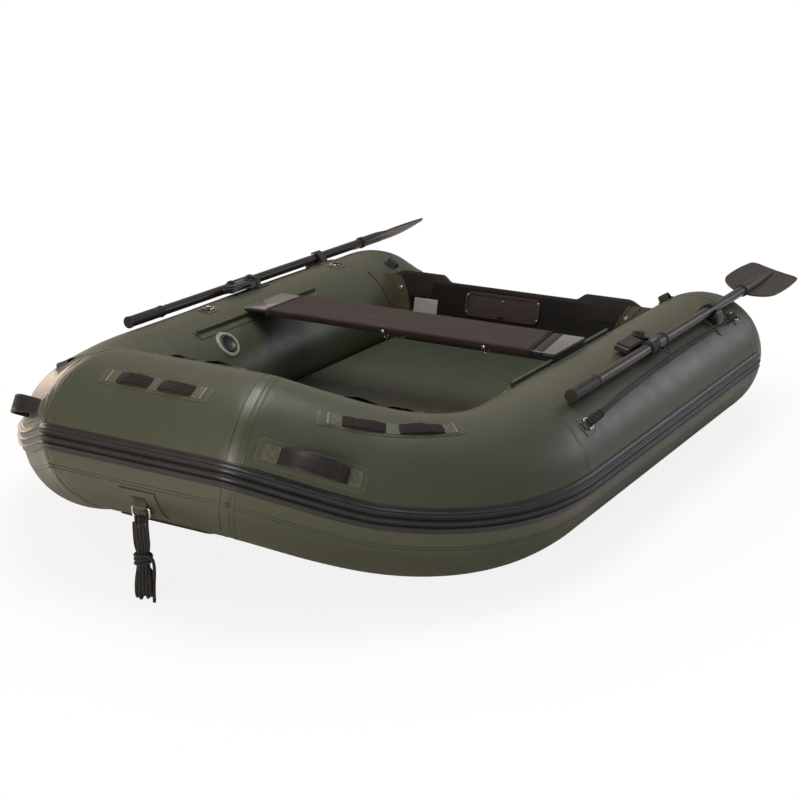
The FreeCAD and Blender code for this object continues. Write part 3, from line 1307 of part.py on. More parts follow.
make_all()
check_and_export()
box = Part.makeCompound([thing.Shape for thing in PARTS.values()]).BoundBox
print(len(PARTS), "sub-parts; box", [round(value, 2) for value in
      (box.XMin, box.XMax, box.YMin, box.YMax, box.ZMin, box.ZMax)])
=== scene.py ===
"""Inflatable dinghy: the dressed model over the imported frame. Metres; +X bow, +Y port, +Z up."""
import bpy
import bmesh
import math
import random
import numpy as np
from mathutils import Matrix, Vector


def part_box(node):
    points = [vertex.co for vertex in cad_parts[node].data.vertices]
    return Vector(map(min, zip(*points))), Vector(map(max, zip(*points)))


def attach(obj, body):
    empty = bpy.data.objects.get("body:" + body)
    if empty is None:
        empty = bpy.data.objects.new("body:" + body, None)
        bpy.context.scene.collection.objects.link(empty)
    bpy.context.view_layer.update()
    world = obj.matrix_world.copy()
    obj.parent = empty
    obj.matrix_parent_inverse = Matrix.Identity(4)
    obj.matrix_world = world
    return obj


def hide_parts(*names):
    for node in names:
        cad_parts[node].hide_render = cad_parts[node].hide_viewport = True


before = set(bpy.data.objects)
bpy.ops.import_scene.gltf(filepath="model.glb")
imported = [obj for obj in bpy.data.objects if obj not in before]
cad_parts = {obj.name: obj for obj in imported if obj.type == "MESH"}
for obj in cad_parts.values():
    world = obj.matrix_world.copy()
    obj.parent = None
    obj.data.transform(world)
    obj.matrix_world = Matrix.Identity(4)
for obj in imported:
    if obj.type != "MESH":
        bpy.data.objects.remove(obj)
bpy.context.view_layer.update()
random.seed(7)

# ------------------------------------------------------------------ sizes, as in the model
R = 0.196
GLUE = 0.0004
SKIN = R + GLUE
TUBE_Z = 0.003 + GLUE + R
SIDE_Y = 0.609
SIDE_AFT = -0.807
BEND_X = 0.4512
BEND_R = 0.550
BEND = math.radians(51.7)
BOW_HALF = 0.200
SHEER = 0.146
RISE_FROM = 0.100
BEND_LEN = BEND_R * BEND
BEND_END_Y = SIDE_Y - BEND_R * (1 - math.cos(BEND))
BOW_RUN = BEND_LEN + (BEND_END_Y - BOW_HALF) / math.sin(BEND)
RISE_TO = BOW_RUN - 0.130
SLOPE = SHEER / ((RISE_TO - RISE_FROM) / 2 + 0.130)


def vec(*v):
    return np.array(v, dtype=float)


def unit(v):
    return v / np.linalg.norm(v)


def rise_slope(run):
    if run <= RISE_FROM:
        return 0.0, 0.0
    if run <= RISE_TO:
        f = (run - RISE_FROM) / (RISE_TO - RISE_FROM)
        return SLOPE * (run - RISE_FROM) * f / 2, SLOPE * f
    return SHEER + SLOPE * (run - BOW_RUN), SLOPE


class Station:
    """Axis point, outward, upward and forward directions of a tube."""

    def __init__(self, c, out, up, along):
        self.c, self.out, self.up, self.along = c, out, up, along

    def p(self, r, ang):
        t = math.radians(ang)
        return self.c + (self.out * math.cos(t) + self.up * math.sin(t)) * r


def quarter(run):
    if run <= 0:
        plan, h = vec(BEND_X + run, SIDE_Y, 0), 0.0
    elif run <= BEND_LEN:
        h = run / BEND_R
        plan = vec(BEND_X + BEND_R * math.sin(h), SIDE_Y - BEND_R * (1 - math.cos(h)), 0)
    else:
        h = BEND
        plan = vec(BEND_X + BEND_R * math.sin(h) + (run - BEND_LEN) * math.cos(h),
                   BEND_END_Y - (run - BEND_LEN) * math.sin(h), 0)
    rise, slope = rise_slope(run)
    along = unit(vec(math.cos(h), -math.sin(h), slope))
    out = vec(math.sin(h), math.cos(h), 0)
    return Station(plan + vec(0, 0, TUBE_Z + rise), out, np.cross(along, out), along)


CORNER = quarter(BOW_RUN)
BOW_X, BOW_Z = CORNER.c[0], CORNER.c[2]
MITRE = unit(CORNER.along + vec(0, -1, 0))


def bow(side):
    return Station(vec(BOW_X, side, BOW_Z), vec(1, 0, 0), vec(0, 0, 1), vec(0, -1, 0))


def at_x(x):
    return quarter(x - BEND_X)


EASE = 0.034
EASE_STEP = math.sqrt((1 - CORNER.along @ vec(0, -1, 0)) / (1 + CORNER.along @ vec(0, -1, 0)))
INWARD = unit(vec(0, -1, 0) - CORNER.along)


# ------------------------------------------------------------------ mesh helpers
def flip_y(p):
    return vec(p[0], -p[1], p[2])


def eased(p):
    """The corner between bow and quarter tubes is a soft bend, not a crease."""
    q = vec(p[0], abs(p[1]), p[2])
    away = abs((q - CORNER.c) @ MITRE) / (CORNER.along @ MITRE)
    if away >= EASE or q[1] > 0.6:
        return p
    q = q + INWARD * EASE_STEP * (EASE - away) ** 2 / (2 * EASE)
    return vec(q[0], math.copysign(q[1], p[1]), q[2])


def make(name, verts, faces, material, body="hull", smooth=True, uvs=None, side=1, replaces=(), slot=None):
    """A mesh piece; side -1 mirrors it to starboard."""
    if body == "hull":
        verts = [eased(v) for v in verts]
    verts = [tuple(v) for v in verts]
    if side < 0:
        verts = [(v[0], -v[1], v[2]) for v in verts]
        faces = [tuple(reversed(f)) for f in faces]
    mesh = bpy.data.meshes.new(name)
    mesh.from_pydata(verts, [], faces)
    if uvs is not None:
        layer = mesh.uv_layers.new(name="UVMap")
        for loop in mesh.loops:
            layer.data[loop.index].uv = uvs[loop.vertex_index]
    mesh.polygons.foreach_set("use_smooth", [smooth] * len(mesh.polygons))
    mesh.update()
    obj = bpy.data.objects.new(name, mesh)
    bpy.context.scene.collection.objects.link(obj)
    mesh.materials.append(material)
    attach(obj, body)
    if replaces:
        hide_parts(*replaces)
    return obj


def grid_data(rows, closed=False, start=0):
    """Vertices and faces of a grid of points; closed joins the last column to the first."""
    m, n = len(rows), len(rows[0])
    verts = [p for row in rows for p in row]
    faces = []
    for i in range(m - 1):
        for j in range(n if closed else n - 1):
            k = (j + 1) % n
            faces.append((start + i * n + j, start + i * n + k, start + (i + 1) * n + k,
                          start + (i + 1) * n + j))
    return verts, faces


def grid(name, rows, material, closed=False, caps=(False, False), uvs=None, **more):
    verts, faces = grid_data(rows, closed)
    n = len(rows[0])
    if caps[0]:
        faces.append(tuple(reversed(range(n))))
    if caps[1]:
        faces.append(tuple(range(len(verts) - n, len(verts))))
    flat = [uv for row in uvs for uv in row] if uvs else None
    return make(name, verts, faces, material, uvs=flat, **more)


def lin(a, b, n):
    return [a + (b - a) * k / (n - 1) for k in range(n)]


def noise1(x, seed=0.0):
    """Smooth repeatable noise from a few sines, about -1 to 1."""
    return (math.sin(x * 1.0 + seed * 1.7) + math.sin(x * 2.31 + seed * 4.1) * 0.6
            + math.sin(x * 4.87 + seed * 2.3) * 0.35) / 1.95


# ------------------------------------------------------------------ materials
def material(name):
    m = bpy.data.materials.new(name)
    m.use_nodes = True
    t = m.node_tree
    bsdf = t.nodes["Principled BSDF"]
    return m, t, bsdf


def link(t, a, b):
    t.links.new(a, b)


def node(t, kind, **inputs):
    n = t.nodes.new(kind)
    for key, value in inputs.items():
        if key in n.inputs:
            n.inputs[key].default_value = value
        else:
            setattr(n, key, value)
    return n


def ramp(t, source, stops):
    n = t.nodes.new("ShaderNodeValToRGB")
    while len(n.color_ramp.elements) < len(stops):
        n.color_ramp.elements.new(0.5)
    for e, (pos, col) in zip(n.color_ramp.elements, stops):
        e.position = pos
        e.color = (*col, 1) if len(col) == 3 else col
    link(t, source, n.inputs[0])
    return n


def coords(t, scale=1.0, use="Object"):
    c = t.nodes.new("ShaderNodeTexCoord")
    m = t.nodes.new("ShaderNodeMapping")
    m.inputs["Scale"].default_value = (scale, scale, scale) if not isinstance(scale, tuple) else scale
    link(t, c.outputs[use], m.inputs[0])
    return m.outputs[0]


def bump(t, bsdf, height, strength, distance):
    b = t.nodes.new("ShaderNodeBump")
    b.inputs["Strength"].default_value = strength
    b.inputs["Distance"].default_value = distance
    link(t, height, b.inputs["Height"])
    prev = bsdf.inputs["Normal"].links
    if prev:
        link(t, prev[0].from_socket, b.inputs["Normal"])
    link(t, b.outputs[0], bsdf.inputs["Normal"])
    return b


def surface(name, dark, light, rough=(0.4, 0.5), grain=0.0, grain_scale=1500, blotch=6.0, specular=0.5,
            coat=0.0, coat_rough=0.3, metal=0.0, sheen=0.0, wave=0.0, wave_scale=4.0, scuff=0.0):
    """General surface: two tones in soft blotches, varying roughness, fine grain and long waves."""
    m, t, b = material(name)
    big = node(t, "ShaderNodeTexNoise", Scale=blotch, Detail=5.0, Roughness=0.55)
    link(t, coords(t), big.inputs["Vector"])
    tone = ramp(t, big.outputs["Fac"], [(0.32, dark), (0.68, light)])
    colour = tone.outputs[0]
    if scuff:
        fine = node(t, "ShaderNodeTexNoise", Scale=90.0, Detail=8.0, Roughness=0.7)
        link(t, coords(t, (1, 1, 1)), fine.inputs["Vector"])
        mask = ramp(t, fine.outputs["Fac"], [(0.60, (0, 0, 0)), (0.72, (1, 1, 1))])
        mix = node(t, "ShaderNodeMix", data_type="RGBA")
        mul = node(t, "ShaderNodeMath", operation="MULTIPLY")
        mul.inputs[1].default_value = scuff
        link(t, mask.outputs[0], mul.inputs[0])
        link(t, mul.outputs[0], mix.inputs["Factor"])
        link(t, colour, mix.inputs[6])
        mix.inputs[7].default_value = (*[min(1, c * 2.2 + 0.02) for c in light], 1)
        colour = mix.outputs[2]
    link(t, colour, b.inputs["Base Color"])
    mid = node(t, "ShaderNodeTexNoise", Scale=blotch * 7, Detail=6.0, Roughness=0.6)
    link(t, coords(t), mid.inputs["Vector"])
    r = node(t, "ShaderNodeMapRange")
    r.inputs["From Min"].default_value = 0.35
    r.inputs["From Max"].default_value = 0.65
    r.inputs["To Min"].default_value = rough[0]
    r.inputs["To Max"].default_value = rough[1]
    link(t, mid.outputs["Fac"], r.inputs["Value"])
    link(t, r.outputs[0], b.inputs["Roughness"])
    b.inputs["Specular IOR Level"].default_value = specular
    b.inputs["Metallic"].default_value = metal
    if coat:
        b.inputs["Coat Weight"].default_value = coat
        b.inputs["Coat Roughness"].default_value = coat_rough
    if sheen:
        b.inputs["Sheen Weight"].default_value = sheen
        b.inputs["Sheen Roughness"].default_value = 0.5
    if wave:
        w = node(t, "ShaderNodeTexNoise", Scale=wave_scale, Detail=2.0)
        link(t, coords(t), w.inputs["Vector"])
        bump(t, b, w.outputs["Fac"], 1.0, wave)
    if grain:
        g = node(t, "ShaderNodeTexNoise", Scale=grain_scale, Detail=3.0)
        link(t, coords(t), g.inputs["Vector"])
        bump(t, b, g.outputs["Fac"], 0.5, grain)
    return m


def woven(name, dark, light, pitch, rough=0.8, depth=0.0004, sheen=0.2, use="UV", specular=0.3, slub=30.0):
    """Cloth or webbing: two crossed waves for the weave, over blotchy tone."""
    m, t, b = material(name)
    c = coords(t, 1.0, use)
    big = node(t, "ShaderNodeTexNoise", Scale=slub, Detail=5.0, Roughness=0.65)
    link(t, coords(t), big.inputs["Vector"])
    w1 = node(t, "ShaderNodeTexWave", Scale=1.0 / pitch / 6.2832 * 3.14, Distortion=0.6)
    w1.bands_direction = "X"
    w2 = node(t, "ShaderNodeTexWave", Scale=1.0 / pitch / 6.2832 * 3.14, Distortion=0.6)
    w2.bands_direction = "Y"
    link(t, c, w1.inputs["Vector"])
    link(t, c, w2.inputs["Vector"])
    mix = node(t, "ShaderNodeMath", operation="MULTIPLY")
    link(t, w1.outputs["Fac"], mix.inputs[0])
    link(t, w2.outputs["Fac"], mix.inputs[1])
    add = node(t, "ShaderNodeMath", operation="ADD")
    link(t, mix.outputs[0], add.inputs[0])
    link(t, big.outputs["Fac"], add.inputs[1])
    tone = ramp(t, add.outputs[0], [(0.25, dark), (1.0, light)])
    link(t, tone.outputs[0], b.inputs["Base Color"])
    b.inputs["Roughness"].default_value = rough
    b.inputs["Specular IOR Level"].default_value = specular
    b.inputs["Sheen Weight"].default_value = sheen
    bump(t, b, mix.outputs[0], 0.9, depth)
    return m


def steel(name, tone=(0.60, 0.59, 0.57), rough=0.22):
    m, t, b = material(name)
    n = node(t, "ShaderNodeTexNoise", Scale=180.0, Detail=6.0)
    link(t, coords(t, (1, 1, 6)), n.inputs["Vector"])
    r = node(t, "ShaderNodeMapRange")
    r.inputs["To Min"].default_value = rough * 0.7
    r.inputs["To Max"].default_value = rough * 1.6
    link(t, n.outputs["Fac"], r.inputs["Value"])
    link(t, r.outputs[0], b.inputs["Roughness"])
    c = ramp(t, n.outputs["Fac"], [(0.3, tuple(x * 0.8 for x in tone)), (0.7, tone)])
    link(t, c.outputs[0], b.inputs["Base Color"])
    b.inputs["Metallic"].default_value = 1.0
    return m


OLIVE = surface("olive_pvc", (0.040, 0.046, 0.026), (0.050, 0.057, 0.033), rough=(0.36, 0.44), grain=0.00008,
                grain_scale=2600, blotch=2.5, specular=0.5, wave=0.0016, wave_scale=5.0)
OLIVE_IN = surface("olive_floor", (0.036, 0.044, 0.026), (0.048, 0.056, 0.034), rough=(0.42, 0.52),
                   grain=0.0002, grain_scale=1200, blotch=3.0, specular=0.4, wave=0.002, wave_scale=3.0)
BOTTOM = surface("bottom_pvc", (0.030, 0.034, 0.020), (0.040, 0.044, 0.027), rough=(0.45, 0.6), grain=0.0001,
                 blotch=4.0, wave=0.002, wave_scale=4.0)
STRAKE = surface("strake_rubber", (0.007, 0.007, 0.008), (0.012, 0.012, 0.013), rough=(0.34, 0.46),
                 grain=0.0001, grain_scale=900, blotch=9.0, specular=0.5, scuff=0.12)
LINE = surface("print_line", (0.16, 0.155, 0.11), (0.20, 0.19, 0.14), rough=(0.5, 0.6), grain=0.0001,
               blotch=60)
EDGE = surface("patch_edge", (0.075, 0.076, 0.052), (0.095, 0.094, 0.066), rough=(0.45, 0.55), grain=0.0001,
               blotch=60)
# Painted shade: a darker olive standing for the shadow in seam grooves and beside the mitre folds; the tow
# patch's outline and stitches use it too.
SEAM_DARK = surface("seam_shade", (0.018, 0.020, 0.012), (0.026, 0.028, 0.018), rough=(0.45, 0.6), blotch=30)
PATCH = surface("patch_pvc", (0.046, 0.052, 0.029), (0.058, 0.064, 0.037), rough=(0.38, 0.48), grain=0.0001,
                blotch=20.0)
PAD = surface("pad_pvc", (0.052, 0.056, 0.036), (0.066, 0.070, 0.046), rough=(0.42, 0.52), grain=0.0001,
              blotch=30.0)
THREAD = surface("thread", (0.20, 0.19, 0.14), (0.30, 0.28, 0.21), rough=(0.7, 0.8), blotch=300)
WEB = woven("webbing", (0.0045, 0.003, 0.003), (0.0155, 0.0085, 0.0090), 0.0022, rough=0.66, depth=0.0003,
            sheen=0.0, specular=0.2)
WEB_BLACK = woven("webbing_black", (0.006, 0.006, 0.006), (0.022, 0.021, 0.020), 0.0022, rough=0.55,
                  depth=0.0005, sheen=0.1)
COVER = woven("seat_fabric", (0.016, 0.009, 0.0075), (0.034, 0.021, 0.018), 0.0016, rough=0.82, depth=0.0002,
              sheen=0.04, use="Object", slub=14)
PLANK = surface("seat_lacquer", (0.115, 0.118, 0.105), (0.150, 0.153, 0.138), rough=(0.16, 0.26), blotch=9.0,
                specular=0.5, coat=0.4, coat_rough=0.15, grain=0.00006, grain_scale=700)
PLANK_EDGE = surface("seat_edge", (0.006, 0.006, 0.006), (0.014, 0.013, 0.012), rough=(0.35, 0.5), blotch=30)
BOARD = surface("transom_ply", (0.005, 0.0042, 0.0035), (0.011, 0.0085, 0.0068), rough=(0.42, 0.55),
                specular=0.3, grain=0.0002,
                grain_scale=900, blotch=8.0)
PLATE = surface("clamp_plate", (0.026, 0.015, 0.011), (0.036, 0.022, 0.016), rough=(0.4, 0.5), grain=0.0002,
                grain_scale=1600, blotch=14.0)
HOLDER = surface("holder_rubber", (0.050, 0.044, 0.024), (0.066, 0.058, 0.034), rough=(0.36, 0.48),
                 grain=0.0002, blotch=12.0)
NYLON = surface("black_nylon", (0.007, 0.007, 0.007), (0.013, 0.013, 0.013), rough=(0.30, 0.44), grain=0.0002,
                grain_scale=1400, blotch=25.0)
GRIP = surface("grip_rubber", (0.010, 0.0078, 0.0078), (0.017, 0.0135, 0.0135), rough=(0.42, 0.56),
               grain=0.0003,
               grain_scale=700, blotch=30.0, specular=0.35)
OAR = surface("oar_tube", (0.014, 0.0100, 0.0095), (0.020, 0.0150, 0.0138), rough=(0.27, 0.31), blotch=4.0,
              specular=0.42)
WIRE = surface("blackened_wire", (0.012, 0.011, 0.010), (0.020, 0.019, 0.018), rough=(0.25, 0.35), metal=0.6)
BLADE = surface("blade_nylon", (0.020, 0.016, 0.012), (0.030, 0.024, 0.018), rough=(0.42, 0.55), grain=0.0003,
                grain_scale=1100, blotch=14.0)
# Painted shade: the tow lug is the tube's PVC, darkened to stand for the shadow it lies in.
LUG_SHADED = surface("lug_pvc_shaded", (0.016, 0.019, 0.010), (0.024, 0.028, 0.016), rough=(0.35, 0.5), grain=0.0002,
              grain_scale=900, blotch=40.0)
STEEL = steel("stainless")
PALE = surface("pale_ring", (0.25, 0.23, 0.18), (0.31, 0.285, 0.225), rough=(0.4, 0.5), grain=0.0001)
VALVE = surface("valve_plastic", (0.016, 0.016, 0.016), (0.026, 0.026, 0.025), rough=(0.35, 0.5),
                grain=0.0001)
LABEL = surface("label_plate", (0.30, 0.29, 0.26), (0.36, 0.35, 0.31), rough=(0.5, 0.6), blotch=40.0)
CORD = woven("cord_black", (0.004, 0.004, 0.004), (0.020, 0.018, 0.017), 0.0016, rough=0.7, depth=0.0006,
             sheen=0.1, use="Object")


# ------------------------------------------------------------------ tubes
TH = 120


def pucker(ang, dist, seed, size=0.0010, reach=0.035):
    """Small folds of the fabric beside a welded seam."""
    return size * noise1(math.radians(ang) * 11, seed) * math.exp(-abs(dist) / reach)


def ring(st, fn=None):
    return [st.p(R + (fn(a) if fn else 0.0), a) for a in lin(0, 360 * (1 - 1 / TH), TH)]


def on_mitre(st, p):
    """Slides a point along its station's direction to the mitre plane."""
    t = np.dot(CORNER.c - p, MITRE) / np.dot(st.along, MITRE)
    return p + st.along * t


def side_tube(side, word):
    rows, uvs = [], []
    for run in lin(SIDE_AFT - BEND_X, 0.0, 90):
        st = quarter(run)
        near = min(abs(run - (SIDE_AFT - BEND_X + 0.028)), abs(run))
        rows.append(ring(st, fn=lambda a: pucker(a, near, 3.0 if side > 0 else 5.0, 0.0006)))
    grid(word + "_side_skin", rows, OLIVE, closed=True, side=side, replaces=[word + "_side_tube"],
         slot="tube_fabric")


def bow_quarter(side, word):
    rows = []
    last = BOW_RUN - 0.0975
    for run in lin(0.0, last, 60):
        st = quarter(run)
        rows.append(ring(st, fn=lambda a: pucker(a, run, 2.0, 0.0006)))
    st = quarter(BOW_RUN)
    start = rows[-1]
    st_last = quarter(last)
    ends = [on_mitre(st_last, p) for p in ring(st_last)]
    for f in lin(0.1, 1.0, 10):
        row = []
        for j, (a, b) in enumerate(zip(start, ends)):
            ang = 360 * j / TH
            p = a + (b - a) * f
            centre = st_last.c + st_last.along * np.dot(p - st_last.c, st_last.along)
            inner = max(0.0, -math.cos(math.radians(ang)))
            fold = pucker(ang, (1 - f) * 0.09, 7.0, 0.0008 + 0.0016 * inner)
            row.append(p + unit(p - centre) * fold)
        rows.append(row)
    grid(word + "_bow_skin", rows, OLIVE, closed=True, side=side, replaces=[word + "_bow_tube"],
         slot="tube_fabric")


def bow_middle():
    rows = []
    for v in lin(-1, 1, 41):
        row = []
        for j in range(TH):
            ang = 360 * j / TH
            st = bow(0.0)
            p = st.p(R, ang)
            reach = abs(np.dot(CORNER.c - p, MITRE) / np.dot(st.along, MITRE))
            inner = max(0.0, -math.cos(math.radians(ang)))
            fold = pucker(ang, (1 - abs(v)) * reach, 7.0 + v, 0.0008 + 0.0016 * inner)
            q = bow(-v * reach).p(R + fold, ang)
            row.append(q)
        rows.append(row)
    grid("bow_skin", rows, OLIVE, closed=True, replaces=["bow_tube"], slot="tube_fabric")


CONE = 0.318


def cone_radius(d):
    """Radius of a stern cone at a distance aft of its large end."""
    shoulder, small, rounding = 0.120, 0.078, 0.018
    fall = (R - small) * shoulder / (2 * (CONE - rounding) - shoulder)
    if d <= shoulder:
        return R - fall * (0.04 * d / shoulder + 0.96 * (d / shoulder) ** 2)
    if d <= CONE - rounding:
        f = (d - shoulder) / (CONE - rounding - shoulder)
        return (R - fall) + (small - (R - fall)) * f
    f = min(1.0, (d - (CONE - rounding)) / rounding)
    return small - rounding + rounding * math.sqrt(max(0.0, 1 - f * f))


def stern_cone(side, word):
    rows = []
    tip = [CONE - 0.018 * (1 - math.sin(math.radians(a))) for a in lin(12, 90, 7)]
    for d in lin(0, CONE - 0.018, 44) + tip:
        r = cone_radius(d)
        st = quarter(SIDE_AFT - BEND_X - d)
        near = abs(d - 0.118)
        rows.append([st.p(r + pucker(a, near, 4.0, 0.0008) * (d < 0.25), a) for a in lin(0, 357, TH)])
    for r in (0.05, 0.03, 0.01, 0.0005):
        st = quarter(SIDE_AFT - BEND_X - CONE)
        rows.append([st.p(r, a) for a in lin(0, 357, TH)])
    grid(word + "_cone_skin", [list(reversed(row)) for row in rows], OLIVE, closed=True, side=side,
         replaces=[word + "_stern_cone"], slot="tube_fabric")


for sgn, word in ((1, "port"), (-1, "starboard")):
    side_tube(sgn, word)
    bow_quarter(sgn, word)
    stern_cone(sgn, word)
bow_middle()


# ------------------------------------------------------------------ local charts on the tubes
def chart(kind, run0, ang0, side=1, base=SKIN, tilt=0.0):
    """(x along, y round, h above the glue line) to a point; kind is 'q' or 'b', tilt in degrees a metre."""
    def f(x, y, h=0.0):
        ang = ang0 + tilt * x + math.degrees(y / R)
        st = quarter(run0 + x) if kind == "q" else bow(-(run0 + x))
        p = st.p(base + h, ang)
        return flip_y(p) if side < 0 else p
    f.side = side
    return f


def facing(f, faces):
    """Keeps the winding so that normals point away from the tube, also when mirrored."""
    return [tuple(reversed(q)) for q in faces] if f.side > 0 else faces


def strip_on(f, pts, width, height, closed=False, base=0.0):
    """A thin raised strip along points (x, y) of a chart, such as a seam edge or a printed line."""
    n = len(pts)
    rows = []
    for k in range(n):
        a = pts[(k - 1) % n] if closed or k > 0 else pts[k]
        b = pts[(k + 1) % n] if closed or k < n - 1 else pts[k]
        d = vec(b[0] - a[0], b[1] - a[1], 0)
        d = d / (np.linalg.norm(d) + 1e-12)
        nx, ny = -d[1], d[0]
        x, y = pts[k]
        h = width / 2
        rows.append([f(x - nx * h, y - ny * h, base - 0.0006),
                     f(x - nx * h * 0.7, y - ny * h * 0.7, base + height * 0.8),
                     f(x, y, base + height), f(x + nx * h * 0.7, y + ny * h * 0.7, base + height * 0.8),
                     f(x + nx * h, y + ny * h, base - 0.0006)])
    if closed:
        rows.append(rows[0])
    verts, faces = grid_data(rows)
    return verts, (faces if f.side < 0 else [tuple(reversed(q)) for q in faces])


def joined(name, parts, mat, body="hull", **more):
    """One piece from several (verts, faces) sets."""
    verts, faces = [], []
    for v, fs in parts:
        base = len(verts)
        verts += list(v)
        faces += [tuple(base + i for i in q) for q in fs]
    return make(name, verts, faces, mat, body=body, **more)


def rect_path(x0, x1, y0, y1, corner, step=0.004):
    pts = []
    for cx, cy, a0 in ((x1 - corner, y1 - corner, 0), (x0 + corner, y1 - corner, 90),
                       (x0 + corner, y0 + corner, 180), (x1 - corner, y0 + corner, 270)):
        for a in lin(a0, a0 + 90, 6):
            pts.append((cx + corner * math.cos(math.radians(a)), cy + corner * math.sin(math.radians(a))))
    out = []
    for k in range(len(pts)):
        a, b = pts[k], pts[(k + 1) % len(pts)]
        d = math.hypot(b[0] - a[0], b[1] - a[1])
        m = max(1, int(d / step))
        for i in range(m):
            out.append((a[0] + (b[0] - a[0]) * i / m, a[1] + (b[1] - a[1]) * i / m))
    return out


def dash(f, a, b, h, r):
    """One stitch: a small rounded bar between two chart points."""
    pa, pb = f(a[0], a[1], h), f(b[0], b[1], h)
    nrm = unit(f(a[0], a[1], h + 0.01) - pa)
    d = unit(pb - pa)
    s = np.cross(d, nrm)
    verts, faces = [], []
    for t, k in ((0.0, 0.35), (0.2, 1.0), (0.8, 1.0), (1.0, 0.35)):
        c = pa + (pb - pa) * t
        for ang in (0, 60, 120, 180, 240, 300):
            q = math.radians(ang)
            verts.append(c + (s * math.cos(q) + nrm * math.sin(q)) * r * k)
    for i in range(3):
        for j in range(6):
            k = (j + 1) % 6
            faces.append((i * 6 + j, i * 6 + k, (i + 1) * 6 + k, (i + 1) * 6 + j))
    faces.append((5, 4, 3, 2, 1, 0))
    faces.append((18, 19, 20, 21, 22, 23))
    return verts, faces


def stitch_path(f, pts, h, pitch=0.0034, length=0.0024, r=0.00042, closed=False):
    """Stitches along a polyline of chart points."""
    parts = []
    run = [0.0]
    loop = pts + [pts[0]] if closed else pts
    for a, b in zip(loop[:-1], loop[1:]):
        run.append(run[-1] + math.hypot(b[0] - a[0], b[1] - a[1]))

    def at(s):
        for k in range(len(run) - 1):
            if s <= run[k + 1] or k == len(run) - 2:
                w = 0 if run[k + 1] == run[k] else (s - run[k]) / (run[k + 1] - run[k])
                return (loop[k][0] + (loop[k + 1][0] - loop[k][0]) * w,
                        loop[k][1] + (loop[k + 1][1] - loop[k][1]) * w)
    s = 0.0
    while s + length < run[-1]:
        parts.append(dash(f, at(s), at(s + length), h, r))
        s += pitch
    return parts


def box_x(f, x0, x1, y0, y1, h):
    """Box-X stitching on a pad."""
    i = 0.0022
    x0, x1, y0, y1 = x0 + i, x1 - i, y0 + i, y1 - i
    parts = stitch_path(f, [(x0, y0), (x1, y0), (x1, y1), (x0, y1)], h, closed=True)
    parts += stitch_path(f, [(x0, y0), (x1, y1)], h)
    parts += stitch_path(f, [(x0, y1), (x1, y0)], h)
    return parts


# ------------------------------------------------------------------ seams
def ring_strip(run_fn, width, height, side, a0=0.0, a1=360.0, n=160):
    """A strip round the tube at a run that may depend on the angle."""
    rows = []
    for a in lin(a0, a1, n):
        run = run_fn(a)
        row = []
        for dx, h in ((-0.5, -0.0006), (-0.42, 0.8), (0, 1.0), (0.42, 0.8), (0.5, -0.0006)):
            st = quarter(run + dx * width)
            hh = h if h < 0 else h * height
            p = st.p(R + hh, a)
            row.append(flip_y(p) if side < 0 else p)
        rows.append(row)
    verts, faces = grid_data(rows)
    return verts, (faces if side > 0 else [tuple(reversed(q)) for q in faces])


def mitre_strip(offset, width, height, side, own):
    """A strip on a tube at a distance from the mitre plane; own is 'q' or 'b'."""
    rows = []
    for a in lin(0, 360, 181):
        row = []
        for dx, h in ((-0.5, -0.0006), (-0.42, 0.8), (0, 1.0), (0.42, 0.8), (0.5, -0.0006)):
            hh = h if h < 0 else h * height
            if own == "q":
                st = quarter(BOW_RUN - 0.0975)
                p = on_mitre(st, st.p(R + hh, a)) - st.along * (offset + dx * width)
            else:
                st = bow(0.0)
                q = st.p(R + hh, a)
                q = q + st.along * (np.dot(CORNER.c - q, MITRE) / np.dot(st.along, MITRE))
                p = q + st.along * (offset + dx * width)
            row.append(flip_y(p) if side < 0 else p)
        rows.append(row)
    verts, faces = grid_data(rows)
    return verts, faces


# tapes are raised olive strips; edges are thin dark strips painted as the shadow in the seams.
tapes, edges = [], []
for sgn, word in ((1, "port"), (-1, "starboard")):
    tapes.append(ring_strip(lambda a: 0.0, 0.036, 0.0002, sgn))
    tapes.append(ring_strip(lambda a: SIDE_AFT - BEND_X + 0.028, 0.030, 0.0006, sgn))
    for off, own in ((0.010, "q"), (0.022, "q"), (0.014, "b")):
        edges.append(mitre_strip(off, 0.0014, 0.0005, sgn, own))
        tapes.append(mitre_strip(off + 0.003, 0.0050, 0.0004, sgn, own))
for sgn in (1, -1):
    q = chart("q", 0.0, -19.5, sgn, base=R)
    for drop in (0.0, -0.0085):
        edges.append(strip_on(q, [(x, drop) for x in lin(SIDE_AFT - BEND_X + 0.02, BOW_RUN + 0.028, 250)],
                              0.0016, 0.0007))
for drop in (0.0, -0.0085):
    edges.append(strip_on(chart("b", 0.0, -12.4, base=R), [(x, drop) for x in lin(-0.268, 0.268, 60)], 0.0016,
                          0.0007))
joined("seam_shade_lines", edges, SEAM_DARK, slot="tube_fabric")
seam_tapes = joined("seam_tapes", tapes, OLIVE, slot="tube_fabric")
seam_tapes.modifiers.new("Weld", "WELD").merge_threshold = 0.00005


# ------------------------------------------------------------------ strakes and wear strips
STRAKE_TOP = 0.0350
STRAKE_SECTION = ((0.0, 0.0), (0.0006, 0.0030), (0.0022, 0.0046), (0.0052, 0.0056), (0.0078, 0.0074),
                  (0.0090, 0.0108), (0.0100, 0.0126), (0.0112, 0.0110), (0.0126, 0.0070),
                  (0.0150, 0.0054), (0.0200, 0.0048), (0.0245, 0.0056), (0.0266, 0.0078),
                  (0.0276, 0.0112), (0.0286, 0.0130), (0.0298, 0.0112), (0.0312, 0.0072),
                  (0.0336, 0.0056), (0.0382, 0.0050), (0.0424, 0.0058), (0.0442, 0.0080),
                  (0.0452, 0.0108), (0.0461, 0.0122), (0.0473, 0.0102), (0.0487, 0.0062),
                  (0.0510, 0.0042), (0.0570, 0.0038), (0.0606, 0.0050), (0.0622, 0.0036), (0.0630, 0.0))


